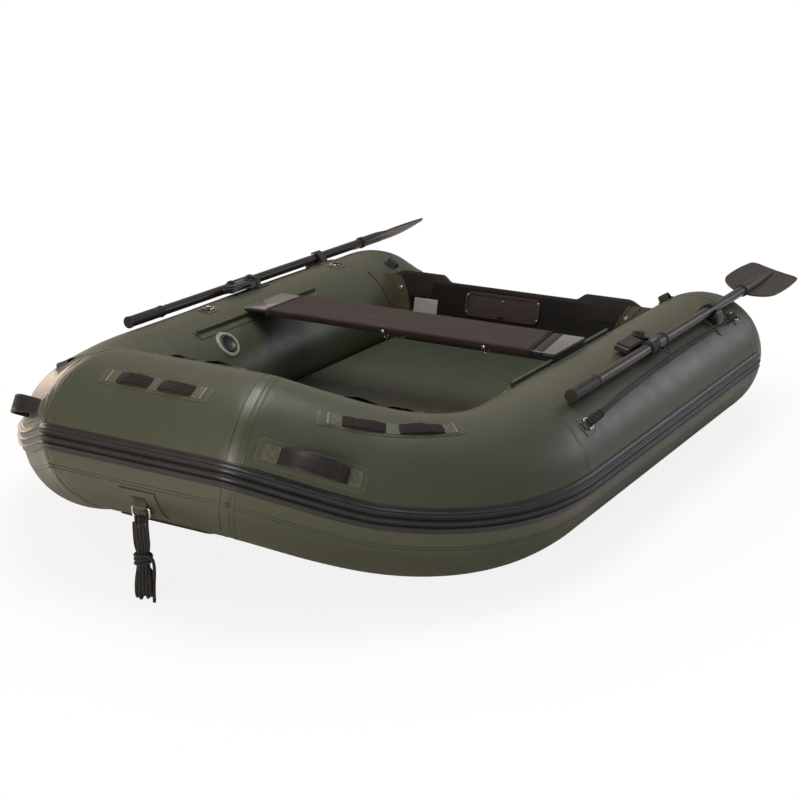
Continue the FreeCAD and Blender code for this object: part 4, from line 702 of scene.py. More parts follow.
def strake_row(st):
    """The strake's section at a station: a flat band with three narrow ribs."""
    row = []
    for down, proud in STRAKE_SECTION:
        h = STRAKE_TOP - down
        row.append(st.c + st.out * (math.sqrt(R * R - h * h) + max(proud, -0.0005)) + st.up * h)
    return row


for sgn, word in ((1, "port"), (-1, "starboard")):
    rows = [strake_row(quarter(run)) for run in lin(SIDE_AFT - BEND_X, -0.01, 60)]
    rows += [strake_row(quarter(run)) for run in lin(0.0, BOW_RUN - 0.055, 66)]
    ends = [on_mitre(CORNER, p) for p in strake_row(CORNER)]
    last = rows[-1]
    rows += [[a + (b - a) * q for a, b in zip(last, ends)] for q in lin(0.1, 1.0, 10)]
    grid(word + "_strake", rows, STRAKE, side=sgn, replaces=[word + "_rub_strake"], slot="strake_rubber")
rows = [[vec(p[0], v * p[1], p[2]) for p in ends] for v in lin(1, -1, 61)]
grid("bow_strake", rows, STRAKE, replaces=["bow_rub_strake"], slot="strake_rubber")

# ------------------------------------------------------------------ bands, wires and cords
BAND_SECTION = ((-1.0, 0.30), (-0.985, 0.80), (-0.93, 1.0), (-0.6, 0.94), (-0.2, 0.92), (0.2, 0.92),
                (0.6, 0.94), (0.93, 1.0), (0.985, 0.80), (1.0, 0.30), (0.94, 0.0), (0.4, 0.04),
                (-0.4, 0.04), (-0.94, 0.0))
GRIP_SECTION = ((-1.0, 0.0), (-1.0, 0.72), (-0.95, 0.94), (-0.86, 1.0), (-0.76, 0.97), (-0.70, 0.78),
                (-0.3, 0.76), (0.3, 0.76), (0.70, 0.78), (0.76, 0.97), (0.86, 1.0), (0.95, 0.94),
                (1.0, 0.72), (1.0, 0.0), (0.8, -0.10), (0.3, -0.16), (-0.3, -0.16), (-0.8, -0.10))


def band(f, xs, half, low, thick, twist=None, section=BAND_SECTION, rib=None, shift=None):
    """A flat strap along a chart: low(x) is its underside's height, twist(x) its slope across."""
    rows, uvs = [], []
    for x in xs:
        slope = math.tan(twist(x)) if twist else 0.0
        off = shift(x) if shift else 0.0
        row, urow = [], []
        for u, v in section:
            y = u * half
            t = thick(x) if callable(thick) else thick
            lift = rib(x) if rib and 0.74 < v < 0.80 else 0.0
            row.append(f(x, y + off, max(low(x) + slope * y, 0.0) + v * t + lift))
            urow.append((x, y + v * 0.002))
        rows.append(row)
        uvs.append(urow)
    verts, faces = grid_data(rows, closed=True)
    n = len(section)
    faces.append(tuple(reversed(range(n))))
    faces.append(tuple(range(len(verts) - n, len(verts))))
    if f.side < 0:
        faces = [tuple(reversed(q)) for q in faces]
    return verts, faces, [u for r in uvs for u in r]


def joined_uv(name, parts, mat, **more):
    verts, faces, uvs = [], [], []
    for v, fs, u in parts:
        base = len(verts)
        verts += list(v)
        uvs += list(u)
        faces += [tuple(base + i for i in q) for q in fs]
    return make(name, verts, faces, mat, uvs=uvs, **more)


def sweep(pts, radius, sides=12, closed=False, squash=1.0):
    """Round bar along points, by parallel transport; closed joins the ends."""
    pts = [vec(*p) for p in pts]
    n = len(pts)
    tangents = []
    for k in range(n):
        a = pts[(k - 1) % n] if closed or k > 0 else pts[k]
        b = pts[(k + 1) % n] if closed or k < n - 1 else pts[k]
        tangents.append(unit(b - a))
    ref = vec(0, 0, 1) if abs(tangents[0][2]) < 0.9 else vec(1, 0, 0)
    u = unit(np.cross(tangents[0], ref))
    rows = []
    for p, t in zip(pts, tangents):
        u = unit(u - t * np.dot(u, t))
        v = np.cross(t, u)
        r = radius(len(rows)) if callable(radius) else radius
        rows.append([p + (u * math.cos(a) + v * math.sin(a) * squash) * r
                     for a in [2 * math.pi * k / sides for k in range(sides)]])
    if closed:
        rows.append(rows[0])
    verts, faces = grid_data(rows, closed=True)
    if not closed:
        faces.append(tuple(reversed(range(sides))))
        faces.append(tuple(range(len(verts) - sides, len(verts))))
    return verts, faces


def tidy_mesh(obj, weld=0.00002):
    bm = bmesh.new()
    bm.from_mesh(obj.data)
    bmesh.ops.remove_doubles(bm, verts=bm.verts, dist=weld)
    bmesh.ops.recalc_face_normals(bm, faces=bm.faces)
    bm.to_mesh(obj.data)
    bm.free()
    return obj


def cord_curve(name, pts, radius, mat, body, replaces=()):
    """A cord as one smooth open NURBS spline."""
    curve = bpy.data.curves.new(name, "CURVE")
    curve.dimensions = "3D"
    spline = curve.splines.new("NURBS")
    spline.points.add(len(pts) - 1)
    for q, p in zip(spline.points, pts):
        q.co = (*map(float, p), 1)
    spline.order_u = 3
    spline.use_endpoint_u = True
    spline.resolution_u = 8
    curve.bevel_depth = radius
    curve.bevel_resolution = 4
    curve.use_fill_caps = True
    curve.materials.append(mat)
    obj = bpy.data.objects.new(name, curve)
    bpy.context.scene.collection.objects.link(obj)
    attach(obj, body)
    if replaces:
        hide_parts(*replaces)
    return obj


def spline_line(obj):
    """Points along a cord's own smooth line, and its length."""
    plain = obj.data.copy()
    plain.bevel_depth = 0.0
    holder = bpy.data.objects.new("line", plain)
    bpy.context.scene.collection.objects.link(holder)
    mesh = bpy.data.meshes.new_from_object(holder)
    pts = [vec(*v.co) for v in mesh.vertices]
    bpy.data.objects.remove(holder)
    bpy.data.meshes.remove(mesh)
    return pts, sum(np.linalg.norm(b - a) for a, b in zip(pts[:-1], pts[1:]))


# ------------------------------------------------------------------ strap rows
WEB_HALF = 0.0160
PATCH_HALF = 0.0245
PAD_HALF = 0.0185
PATCH_T = 0.0012
PAD_T = 0.0014


def strap_row(f, length, seed, out):
    """Patch, three sewn pads and two webbing loops; the chart is centred on the row."""
    at = lambda k: -length / 2 + length * k / 18
    out["patch"].append((f, -length / 2, length / 2))
    for inset, width in ((0.0022, 0.0010), (0.0062, 0.0008)):
        path = rect_path(-length / 2 + inset, length / 2 - inset, -PATCH_HALF + inset, PATCH_HALF - inset,
                         0.008)
        out["line"].append(strip_on(f, path, width, 0.0003, closed=True, base=PATCH_T))
    for a, b in ((1, 3), (8, 10), (15, 17)):
        x0, x1 = at(a), at(b)
        out["pad"].append((f, x0, x1))
        top = PATCH_T + PAD_T + 0.0002
        inner0, inner1 = (x0 + 0.010, x1) if a == 1 else (x0, x1 - 0.010) if a == 15 else (x0, x1)
        out["thread"] += box_x(f, inner0 + 0.001, inner1 - 0.001, -PAD_HALF + 0.001, PAD_HALF - 0.001, top)
        if a != 8:
            end = x0 + 0.004 if a == 1 else x1 - 0.004
            out["bar"].append(strip_on(f, [(end, y) for y in lin(-PAD_HALF + 0.001, PAD_HALF - 0.001, 14)],
                                       0.0036, 0.0016, base=PATCH_T + PAD_T))
    for k, (a, b) in enumerate(((3, 8), (10, 15))):
        x0, x1 = at(a) - 0.005, at(b) + 0.005
        w = x1 - x0
        s = seed * 2.7 + k * 1.9
        peak = 0.62 + 0.16 * noise1(s * 3.1)
        rise = 0.0052 + 0.0022 * noise1(s * 1.3 + 4)

        def low(x, x0=x0, w=w, peak=peak, rise=rise, s=s):
            q = (x - x0) / w
            q = min(max(q, 0.0), 1.0)
            hump = math.sin(math.pi * (q ** (math.log(0.5) / math.log(peak)))) ** 0.8 if 0 < q < 1 else 0.0
            return 0.0016 + rise * hump + 0.0008 * noise1(q * 9, s) * hump

        def twist(x, x0=x0, w=w, s=s):
            q = min(max((x - x0) / w, 0.0), 1.0)
            return math.sin(math.pi * q) ** 2 * (0.20 * noise1(q * 5.0, s) + 0.10 * math.sin(s))

        out["web"].append(band(f, lin(x0, x1, 40), WEB_HALF * 0.985, low, 0.0019, twist))


rows = {"patch": [], "line": [], "pad": [], "thread": [], "bar": [], "web": []}
for ang, half in ((60, 0.158), (117, 0.132)):
    strap_row(chart("b", 0.0, ang), 2 * half, ang / 10, rows)
for sgn in (1, -1):
    for ang, first, last, tilt in ((65.5, 0.300, 0.668, -36.0), (117, 0.322, 0.640, 0.0)):
        strap_row(chart("q", (first + last) / 2, ang, sgn, tilt=tilt), last - first, ang / 7 + sgn, rows)


def patch_parts(items, half, t, corner, base=0.0):
    """Rounded patches as one set of meshes."""
    parts = []
    for f, x0, x1 in items:
        g = lambda x, y, h, f=f: f(x, y, h + base)
        g.side = f.side
        parts.append(patch_sheet(g, x0, x1, -half, half, t, corner))
    return parts


def patch_sheet(f, x0, x1, y0, y1, t, corner=0.006, soft=0.0006, drop=0.0008):
    """Vertices, faces and UVs of a glued patch with rounded corners and soft edges."""
    nx, ny = max(6, int((x1 - x0) / 0.007)), max(6, int((y1 - y0) / 0.005))
    cx, cy, hx, hy = (x0 + x1) / 2, (y0 + y1) / 2, (x1 - x0) / 2, (y1 - y0) / 2

    def rounded(px, py):
        dx, dy = abs(px - cx), abs(py - cy)
        ex, ey = dx - (hx - corner), dy - (hy - corner)
        if ex > 0 and ey > 0:
            big, d = max(ex, ey), math.hypot(ex, ey)
            dx, dy = hx - corner + ex / d * big, hy - corner + ey / d * big
        return cx + math.copysign(dx, px - cx), cy + math.copysign(dy, py - cy)

    def samples(lo, hi, n):
        return [lo, lo + soft * 0.35, lo + soft * 1.2] + lin(lo + soft * 3, hi - soft * 3, n) \
            + [hi - soft * 1.2, hi - soft * 0.35, hi]

    xs, ys = samples(x0, x1, nx), samples(y0, y1, ny)
    grid_rows, uvs = [], []
    for i, x in enumerate(xs):
        row = []
        for j, y in enumerate(ys):
            e = min(i, len(xs) - 1 - i, j, len(ys) - 1 - j)
            h = -drop if e == 0 else t * (0.62, 0.93, 1.0)[min(e, 3) - 1]
            px, py = rounded(x, y)
            row.append(f(px, py, h))
            uvs.append((px, py))
        grid_rows.append(row)
    verts, faces = grid_data(grid_rows)
    return verts, facing(f, faces), uvs


joined_uv("strap_row_patches", patch_parts(rows["patch"], PATCH_HALF, PATCH_T, 0.008), PATCH,
          replaces=["strap_patches"], slot="tube_fabric")
joined_uv("strap_row_pads", patch_parts(rows["pad"], PAD_HALF, PAD_T, 0.002, PATCH_T), PAD,
          slot="tube_fabric")
joined("strap_row_lines", rows["line"], EDGE)
joined("strap_row_ends", rows["bar"], LINE)
joined("strap_row_stitches", rows["thread"], THREAD)
joined_uv("strap_row_webbing", rows["web"], WEB, replaces=["strap_webbing"], slot="webbing")

# ------------------------------------------------------------------ carry handles
HANDLE_LIFT = 0.050
HANDLE_HALF = math.radians(5.2) * R
HANDLE_PATCH = math.radians(9.3) * R
HANDLE_ENDS = (-0.1265, 0.1265)
GRIP_ENDS = (-0.0800, 0.0780)
parts = {"patch": [], "pad": [], "line": [], "thread": [], "grip": []}


def arch(x):
    """0 at the ends of the grip's arch, 1 at its middle."""
    return abs(2 * (x - GRIP_ENDS[0]) / (GRIP_ENDS[1] - GRIP_ENDS[0]) - 1)


def grip_low(x):
    return PATCH_T + 0.0014 + HANDLE_LIFT * (1 - arch(x) ** 2.6)


def grip_thick(x):
    return 0.0032 + 0.0034 * (1 - arch(x) ** 4)


def grip_rib(x):
    return 0.0007 * max(0.0, math.sin(x * 2 * math.pi / 0.0056)) if arch(x) < 0.66 else 0.0


for sgn in (1, -1):
    f = chart("q", 0.6515, 22.8, sgn)
    x0, x1 = HANDLE_ENDS
    parts["patch"].append(patch_sheet(f, x0, x1, -HANDLE_PATCH, HANDLE_PATCH, PATCH_T, 0.012))
    for inset, width in ((0.0020, 0.0010), (0.0062, 0.0008)):
        path = rect_path(x0 + inset, x1 - inset, -HANDLE_PATCH + inset, HANDLE_PATCH - inset, 0.012)
        parts["line"].append(strip_on(f, path, width, 0.0003, closed=True, base=PATCH_T))
    g = lambda x, y, h, f=f: f(x, y, h + PATCH_T)
    g.side = sgn
    for x0, x1 in ((-0.1140, -0.0740), (0.0720, 0.1145)):
        parts["pad"].append(patch_sheet(g, x0, x1, -HANDLE_HALF - 0.002, HANDLE_HALF + 0.002, 0.0024, 0.002))
        parts["thread"] += box_x(f, x0 + 0.004, x1 - 0.006, -HANDLE_HALF, HANDLE_HALF, PATCH_T + 0.0026)
    parts["grip"].append(band(f, lin(*GRIP_ENDS, 170), HANDLE_HALF, grip_low, grip_thick,
                              section=GRIP_SECTION,
                              rib=grip_rib))
joined_uv("handle_patches", parts["patch"], PATCH, slot="tube_fabric")
joined_uv("handle_pads", parts["pad"], PAD, slot="tube_fabric")
joined("handle_lines", parts["line"], EDGE)
joined("handle_stitches", parts["thread"], THREAD)
joined_uv("carry_handle_grips", parts["grip"], GRIP, replaces=["carry_handles"], slot="black_plastic")


# ------------------------------------------------------------------ rings and lifelines
RING_PLACES = (("port", 0.390, 41.6), ("port", -0.753, 49.3), ("starboard", 0.390, 41.6),
               ("starboard", -0.753, 49.3), ("starboard", 0.144, 92), ("starboard", -0.561, 94))
RING_H = 0.0023 + 0.0018


def d_ring(width, height):
    """Centre line of a D ring: straight bar at y = 0 and a round bow."""
    pts = [(x, 0.0) for x in lin(-width / 2 + 0.004, width / 2 - 0.004, 6)]
    for a in lin(-80, 90, 8):
        pts.append((width / 2 - 0.004 + 0.004 * math.cos(math.radians(a)),
                    0.004 + 0.004 * math.sin(math.radians(a))))
    for a in lin(8, 172, 16):
        pts.append((width / 2 * math.cos(math.radians(a)),
                    0.010 + (height - 0.010) * math.sin(math.radians(a))))
    for a in lin(90, 260, 8):
        pts.append((-width / 2 + 0.004 + 0.004 * math.cos(math.radians(a)),
                    0.004 + 0.004 * math.sin(math.radians(a))))
    return pts


pads, lines, steel_rings, lugs, threads = [], [], [], [], []
for word, place, ang in RING_PLACES:
    sgn = 1 if word == "port" else -1
    f = chart("q", place - BEND_X, ang, sgn)
    fore = 1 if place > 0 else -1
    half_y = math.radians(8) * R
    pads.append(patch_sheet(f, -0.027, 0.027, -half_y, half_y, 0.002, 0.006))
    for inset in (0.0020, 0.0056):
        lines.append(strip_on(f, rect_path(-0.027 + inset, 0.027 - inset, -half_y + inset, half_y - inset,
                                           0.006),
                              0.0008, 0.0003, closed=True, base=0.002))
    # ring plane follows the skin; its straight bar sits in a webbing lug
    ring_pts = [f(fore * (0.004 - y), x, RING_H + 0.0006 + 0.0010 * (y / 0.026))
                for x, y in d_ring(0.030, 0.024)]
    steel_rings.append(sweep(ring_pts, 0.0020, 12, closed=True))
    lug_low = lambda x, fore=fore: 0.0022 + 0.0030 * math.exp(-((x - fore * 0.004) / 0.0042) ** 2)
    xs = lin(min(fore * 0.0005, fore * 0.024), max(fore * 0.0005, fore * 0.024), 22)
    lugs.append(band(f, xs, 0.0105, lug_low, 0.0036))
    a, b = sorted((fore * 0.012, fore * 0.023))
    threads += box_x(f, a, b, -0.0095, 0.0095, 0.0062)
joined_uv("ring_patches", pads, PATCH, replaces=["ring_pads"], slot="patch_fabric")
joined("ring_patch_lines", lines, LINE, slot="patch_fabric")
joined("d_rings", steel_rings, STEEL, replaces=["hull_rings"], slot="stainless")
joined_uv("ring_lugs", lugs, WEB_BLACK, slot="webbing")
joined("ring_lug_stitches", threads, THREAD, slot="cord")

LINE_R = 0.0030


# each strand's points: place along the line, and how far down the tube
LINE_ROUTES = (((0.0, -0.0030), (0.05, -0.0022), (0.30, 0.0068), (0.62, 0.0072), (0.95, -0.0018),
                (1.0, -0.0030)),
               ((0.0, 0.0030), (0.05, 0.0052), (0.27, 0.0172), (0.66, 0.0174), (0.95, 0.0050),
                (1.0, 0.0030)))
RING_SPOTS = ((0.390, 41.6), (-0.753, 49.3))


def lifeline(word, sgn):
    """Two strands of one cord between the rings, with their lashings."""
    ends = [chart("q", place - BEND_X, ang)(0, 0, 0.0086) for place, ang in RING_SPOTS]
    along = unit(ends[1] - ends[0])
    start, stop = ends[0] + along * 0.016, ends[1] - along * 0.016
    outward = at_x(0.0).p(1, 45.5) - at_x(0.0).c
    across = unit(np.cross(along, outward))
    strands, lines = [], []
    for k, route in enumerate(LINE_ROUTES):
        pts = [start + (stop - start) * q - across * down for q, down in route]
        strand = cord_curve(f"{word}_lifeline_strand_{k + 1}", [flip_y(p) if sgn < 0 else p for p in pts],
                            LINE_R,
                            CORD, "hull", replaces=[word + "_lifeline"] if k == 0 else ())
        strands.append(strand)
        lines.append([flip_y(p) if sgn < 0 else p for p in spline_line(strand)[0]])

    def middle(d):
        """Between the two strands, at a distance from the fore ring."""
        out = []
        for line in lines:
            run = 0.0
            for a, b in zip(line[:-1], line[1:]):
                step = np.linalg.norm(b - a)
                if run + step >= d or b is line[-1]:
                    out.append(a + (b - a) * min(1.0, (d - run) / step))
                    break
                run += step
        return (out[0] + out[1]) / 2, np.linalg.norm(out[0] - out[1]) / 2

    whole = spline_line(strands[0])[1]
    wraps = []
    for first, turns, pitch, seed in ((0.003, 11, 0.0060, 1.0), (whole - 0.050, 7, 0.0064, 2.0)):
        pts = []
        for j in range(turns * 12 + 1):
            a = 2 * math.pi * j / 12
            base, half = middle(first + pitch * j / 12)
            loose = 1 + 0.26 * noise1(j * 0.16, seed)
            p = base + across * (math.cos(a) * (half + 0.0052) * loose) \
                + outward * (math.sin(a) * 0.0056 * loose + 0.0008)
            pts.append(flip_y(p) if sgn < 0 else p)
        wraps.append(sweep(pts, lambda i, s=seed: 0.0027 + 0.0005 * noise1(i * 0.5, s), 8))
    # loops through the rings and short cut ends beside them
    for line, sign in ((0, -1), (-1, 1)):
        for strand in lines:
            end = strand[line]
            pts = [end + along * sign * (0.017 * math.sin(r) - 0.004) + outward * (0.0030 * math.sin(r)
                   - 0.0016 * math.cos(r)) for r in lin(0, math.pi, 12)]
            wraps.append(sweep([flip_y(p) if sgn < 0 else p for p in pts], 0.0026, 8))
        end = lines[1][line]
        tail = [end - along * sign * (0.010 + 0.020 * q) - across * (0.006 + 0.006 * q)
                + outward * 0.003 * (1 - q) for q in lin(0, 1, 6)]
        wraps.append(sweep([flip_y(p) if sgn < 0 else p for p in tail], 0.0024, 8))
    knots = joined(word + "_lifeline_knots", wraps, CORD, slot="cord")
    tidy_mesh(knots)
    for k, strand in enumerate(strands):
        pts, size = spline_line(strand)
        tuple(pts[0])


for sgn, word in ((1, "port"), (-1, "starboard")):
    lifeline(word, sgn)

# ------------------------------------------------------------------ tow point
TOW_ANG = -31.6
f = chart("b", 0.0, TOW_ANG)
half = 0.046
joined_uv("tow_patches", [patch_sheet(f, -0.050, 0.050, -half, half, 0.0016, 0.0455, soft=0.0010)], OLIVE,
          slot="patch_fabric")
joined("tow_patch_lines", [strip_on(f, rect_path(-0.044, 0.044, -0.040, 0.040, 0.0395), 0.0008, 0.0003,
                                    closed=True, base=0.0016)], SEAM_DARK, slot="patch_fabric")
SPOT = f(0, 0, 0)
TOW_OUT = unit(f(0, 0, 0.01) - SPOT)
AXLE = SPOT + TOW_OUT * 0.0085


def turned_chart(x, y, h):
    return f(y, x, h)


turned_chart.side = -1
# The lug's dark colour is painted shade over the tube's PVC.
lug = [band(turned_chart, lin(first, last, 26), 0.0190,
            lambda x: 0.0018 + 0.0068 * math.exp(-(x / 0.0088) ** 2),
            0.0026) for first, last in ((-0.026, -0.0018), (0.0018, 0.026))]
joined_uv("tow_lug_webbing", lug, LUG_SHADED, slot="webbing")
threads = box_x(f, -0.0175, 0.0175, 0.0125, 0.0245, 0.0046)
threads += box_x(f, -0.0175, 0.0175, -0.0245, -0.0125, 0.0046)
joined("tow_stitches", threads, SEAM_DARK, slot="cord")

BAR = 0.0256
DROP = 0.0328
profile = [(y, 0.0) for y in lin(-BAR + 0.005, BAR - 0.005, 8)]
profile += [(BAR - 0.005 + 0.005 * math.sin(math.radians(a)), -0.005 + 0.005 * math.cos(math.radians(a)))
            for a in lin(15, 90, 5)]
profile += [(BAR, z) for z in lin(-0.009, -DROP * 0.45, 4)]
profile += [(BAR * math.cos(math.radians(a)), -DROP * 0.45 - DROP * 0.55 * math.sin(math.radians(a)))
            for a in lin(8, 172, 22)]
profile += [(-BAR, z) for z in lin(-DROP * 0.45, -0.009, 4)]
profile += [(-BAR + 0.005 - 0.005 * math.sin(math.radians(a)), -0.005 + 0.005 * math.cos(math.radians(a)))
            for a in lin(90, 15, 5)]
wire = sweep([vec(AXLE[0], y, AXLE[2] + z) for y, z in profile], 0.0026, 14, closed=True)
tow_wire = joined("tow_ring_wire", [wire], STEEL, body="tow_ring", replaces=["tow_ring"],
                  slot="stainless")
tidy_mesh(tow_wire)

# ------------------------------------------------------------------ painter: a flat hank on the tow ring
ROPE = 0.0040
FOLD = 0.0243
WAIST_Z = 0.110
PITCH = 0.0083
TURN_R = 0.0203
DEEP, WIDE = unit(vec(0.86, 0.51, 0)), unit(vec(-0.51, 0.86, 0))


def hank_at(wide, deep, z):
    return vec(AXLE[0], 0, z) + WIDE * wide + DEEP * deep


# each loop: place across, heights of its top and bottom folds, and its two legs at the waist
LOOPS = ((-2, 0.2122, 0.0150, (-0.0114, 0.0), (-0.0076, -0.0068)),
         (-1, 0.2150, 0.0098, (-0.0076, 0.0068), (-0.0038, 0.0)),
         (0, 0.2128, 0.0190, (0.0, 0.0068), (0.0, -0.0068)),
         (1, 0.2160, 0.0120, (0.0076, 0.0068), (0.0038, 0.0)),
         (2, 0.2120, 0.0165, (0.0114, 0.0), (0.0076, -0.0068)))
# four points of a fold: depth and height over its middle
FOLD_POINTS = ((0.0243, 0.0101), (0.0101, 0.0243), (-0.0101, 0.0243), (-0.0243, 0.0101))
hank = [hank_at(-2 * PITCH, 0.0066, AXLE[2] - DROP - 0.0006), hank_at(-2 * PITCH, 0.0110, 0.190)]
for k, (place, top, low, front, back) in enumerate(LOOPS):
    s0 = place * PITCH
    if k:
        hank.append(hank_at(s0, 0.0212, 0.174))
    hank += [hank_at(s0 * 0.95, 0.0090, 0.146), hank_at(*front, WAIST_Z + 0.014),
             hank_at(*front, WAIST_Z - 0.014), hank_at(s0 * 0.98, 0.0208, low + 0.048)]
    hank += [hank_at(s0, deep, low + FOLD - drop) for deep, drop in FOLD_POINTS]
    hank.append(hank_at(s0 * 0.98, -0.0208, low + 0.048))
    if k < len(LOOPS) - 1:
        hank += [hank_at(*back, WAIST_Z - 0.014), hank_at(*back, WAIST_Z + 0.014),
                 hank_at(s0 * 0.95, -0.0090, 0.146), hank_at(s0, -0.0212, 0.174)]
        hank += [hank_at(s0 + PITCH * step, -deep, top - FOLD + rise)
                 for step, (deep, rise) in zip((0.05, 0.35, 0.65, 0.95), FOLD_POINTS)]


def turn_at(angle, radius, z):
    return vec(AXLE[0] + radius * math.cos(math.radians(angle)), radius * math.sin(math.radians(angle)), z)


# close turns round the waist, then the free end hangs beside the hank
hank += [turn_at(193 + 40 * j, TURN_R + 0.0015 * math.exp(-j),
                 WAIST_Z - 0.0125 + 0.00105 * j - 0.019 * math.exp(-0.9 * j))
         for j in range(24)]
hank += [turn_at(64, 0.0224, 0.1228), turn_at(86, 0.0262, 0.1170), turn_at(97, 0.0285, 0.1010),
         turn_at(98, 0.0284, 0.0780), turn_at(94, 0.0272, 0.0520), turn_at(86, 0.0285, 0.0260),
         turn_at(80, 0.0320, 0.0056)]
painter = cord_curve("painter_rope", hank, ROPE, CORD, "tow_ring", replaces=["painter_hank"])
pts, size = spline_line(painter)
tuple(pts[0])

# ------------------------------------------------------------------ valves
VALVE_X, VALVE_ANG = 0.235, 138


def valve_frame(sgn):
    """Middle of a valve on the tube's skin, with its outward, forward and round directions."""
    st = at_x(VALVE_X)
    c = st.p(R, VALVE_ANG)
    out = unit(c - st.c)
    x = vec(1, 0, 0)
    y = np.cross(out, x)

    def g(px, py, h=0.0):
        p = c + x * px + y * py + out * h
        return flip_y(p) if sgn < 0 else p
    return g


def turned_parts(g, profile, sides=64, centre=(0.0, 0.0)):
    """A body of revolution about the outward axis; the profile is (radius, height)."""
    rings = []
    for r, h in profile:
        rings.append([g(centre[0] + r * math.cos(a), centre[1] + r * math.sin(a), h)
                      for a in [2 * math.pi * k / sides for k in range(sides)]])
    verts, faces = grid_data(rings, closed=True)
    if profile[0][0] > 0:
        faces.append(tuple(reversed(range(sides))))
    faces.append(tuple(range(len(verts) - sides, len(verts))))
    return verts, faces


for sgn, word in ((1, "port"), (-1, "starboard")):
    g = valve_frame(sgn)
    rings = []
    for r, t in ((0.0305, 0.0026), (0.0312, 0.0042), (0.0326, 0.0048), (0.0350, 0.0047), (0.0395, 0.0044),
                 (0.0418, 0.0038), (0.0430, 0.0022), (0.0433, 0.0004)):
        row = []
        for k in range(72):
            a = 2 * math.pi * k / 72
            px, py = r * math.cos(a), r * math.sin(a)
            drop = R - math.sqrt(max(R * R - py * py, 0))
            row.append(g(px, py, t - drop))
        rings.append(row)
    verts, faces = grid_data(rings, closed=True)
    tidy_mesh(make(word + "_valve_ring", verts, faces, PALE, slot="patch_fabric"))
    rim = [turned_parts(g, [(0.0205, 0.0042), (0.0212, 0.0056), (0.0240, 0.0062), (0.0282, 0.0058),
                            (0.0304, 0.0044), (0.0306, 0.0022)])]
    rim += [sweep([g(r * math.cos(a), r * math.sin(a), 0.0058) for r in (0.0222, 0.0262, 0.0296)], 0.0013, 6)
            for a in [2 * math.pi * k / 12 for k in range(12)]]
    tidy_mesh(joined(word + "_valve_rim", rim, VALVE, slot="valve_plastic"))
    cap = [turned_parts(g, [(0.0040, 0.0022), (0.0058, 0.0024), (0.0062, 0.0012), (0.0062, -0.0030)], 32)]
    for a in (20, 110, 200, 290):
        ca, sa = math.cos(math.radians(a)), math.sin(math.radians(a))
        cap.append(sweep([g(ca * d, sa * d, 0.0004) for d in (0.004, 0.008, 0.0125, 0.0150)], 0.0017, 8))
    cap.append(sweep([g(0.0162 * math.cos(b), 0.0162 * math.sin(b), 0.0010)
                      for b in [2 * math.pi * k / 60 for k in range(60)]], 0.0012, 8, closed=True))
    tidy_mesh(joined(word + "_valve_cap_ribs", cap, VALVE, body=word + "_cap", slot="valve_plastic"))

# ------------------------------------------------------------------ seat
SEAT_LOW, SEAT_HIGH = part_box("seat_plank")
SEAT_X0, SEAT_X1 = SEAT_LOW[0], SEAT_HIGH[0]
SEAT_Z0, SEAT_Z1 = SEAT_LOW[2], SEAT_HIGH[2]
SEAT_HALF = SEAT_HIGH[1]
LAMINATE = 0.0026


def rounded_section(x0, x1, z0, z1, r, n=6):
    """Points round a rectangle with rounded corners in the XZ plane, seen from starboard."""
    pts = []
    corners = ((x1 - r, z0 + r, 270), (x1 - r, z1 - r, 0), (x0 + r, z1 - r, 90), (x0 + r, z0 + r, 180))
    for cx, cz, a0 in corners:
        pts += [(cx + r * math.cos(math.radians(a)), cz + r * math.sin(math.radians(a)))
                for a in lin(a0, a0 + 90, n)]
    return pts


def bar_y(section, ys, inset=0.0008):
    """Bar along Y with softened ends."""
    cx = sum(p[0] for p in section) / len(section)
    cz = sum(p[1] for p in section) / len(section)
    stations = [(ys[0], inset), (ys[0] + inset, 0.0)] + [(y, 0.0) for y in ys[1:-1]]
    stations += [(ys[-1] - inset, 0.0), (ys[-1], inset)]
    rings = []
    for y, shrink in stations:
        ring = []
        for x, z in section:
            ring.append(vec(x - math.copysign(shrink, x - cx), y,
                            z - math.copysign(min(shrink, 0.0006), z - cz)))
        rings.append(ring)
    verts, faces = grid_data(rings, closed=True)
    n = len(section)
    faces.append(tuple(reversed(range(n))))
    faces.append(tuple(range(len(verts) - n, len(verts))))
    return verts, faces


core = bar_y(rounded_section(SEAT_X0, SEAT_X1, SEAT_Z0, SEAT_Z1 - LAMINATE, 0.0035),
             lin(-SEAT_HALF, SEAT_HALF, 9))
tidy_mesh(joined("seat_core", [core], PLANK_EDGE, body="seat", replaces=["seat_plank"], slot="seat_board"))
top = bar_y(rounded_section(SEAT_X0 + 0.0006, SEAT_X1 - 0.0006, SEAT_Z1 - LAMINATE + 0.0002, SEAT_Z1,
                            0.0011, 4),
            lin(-SEAT_HALF + 0.0006, SEAT_HALF - 0.0006, 9))
tidy_mesh(joined("seat_laminate", [top], PLANK, body="seat", slot="seat_board"))

COVER_R = 0.0052
COVER_GAP = 0.0009


def cover_end(x, side):
    """Where the cover ends at a place across the seat; the port end is cut at a slant."""
    f = (x - SEAT_X0) / (SEAT_X1 - SEAT_X0)
    return 0.4180 + 0.030 * f if side > 0 else -0.4340 - 0.004 * f


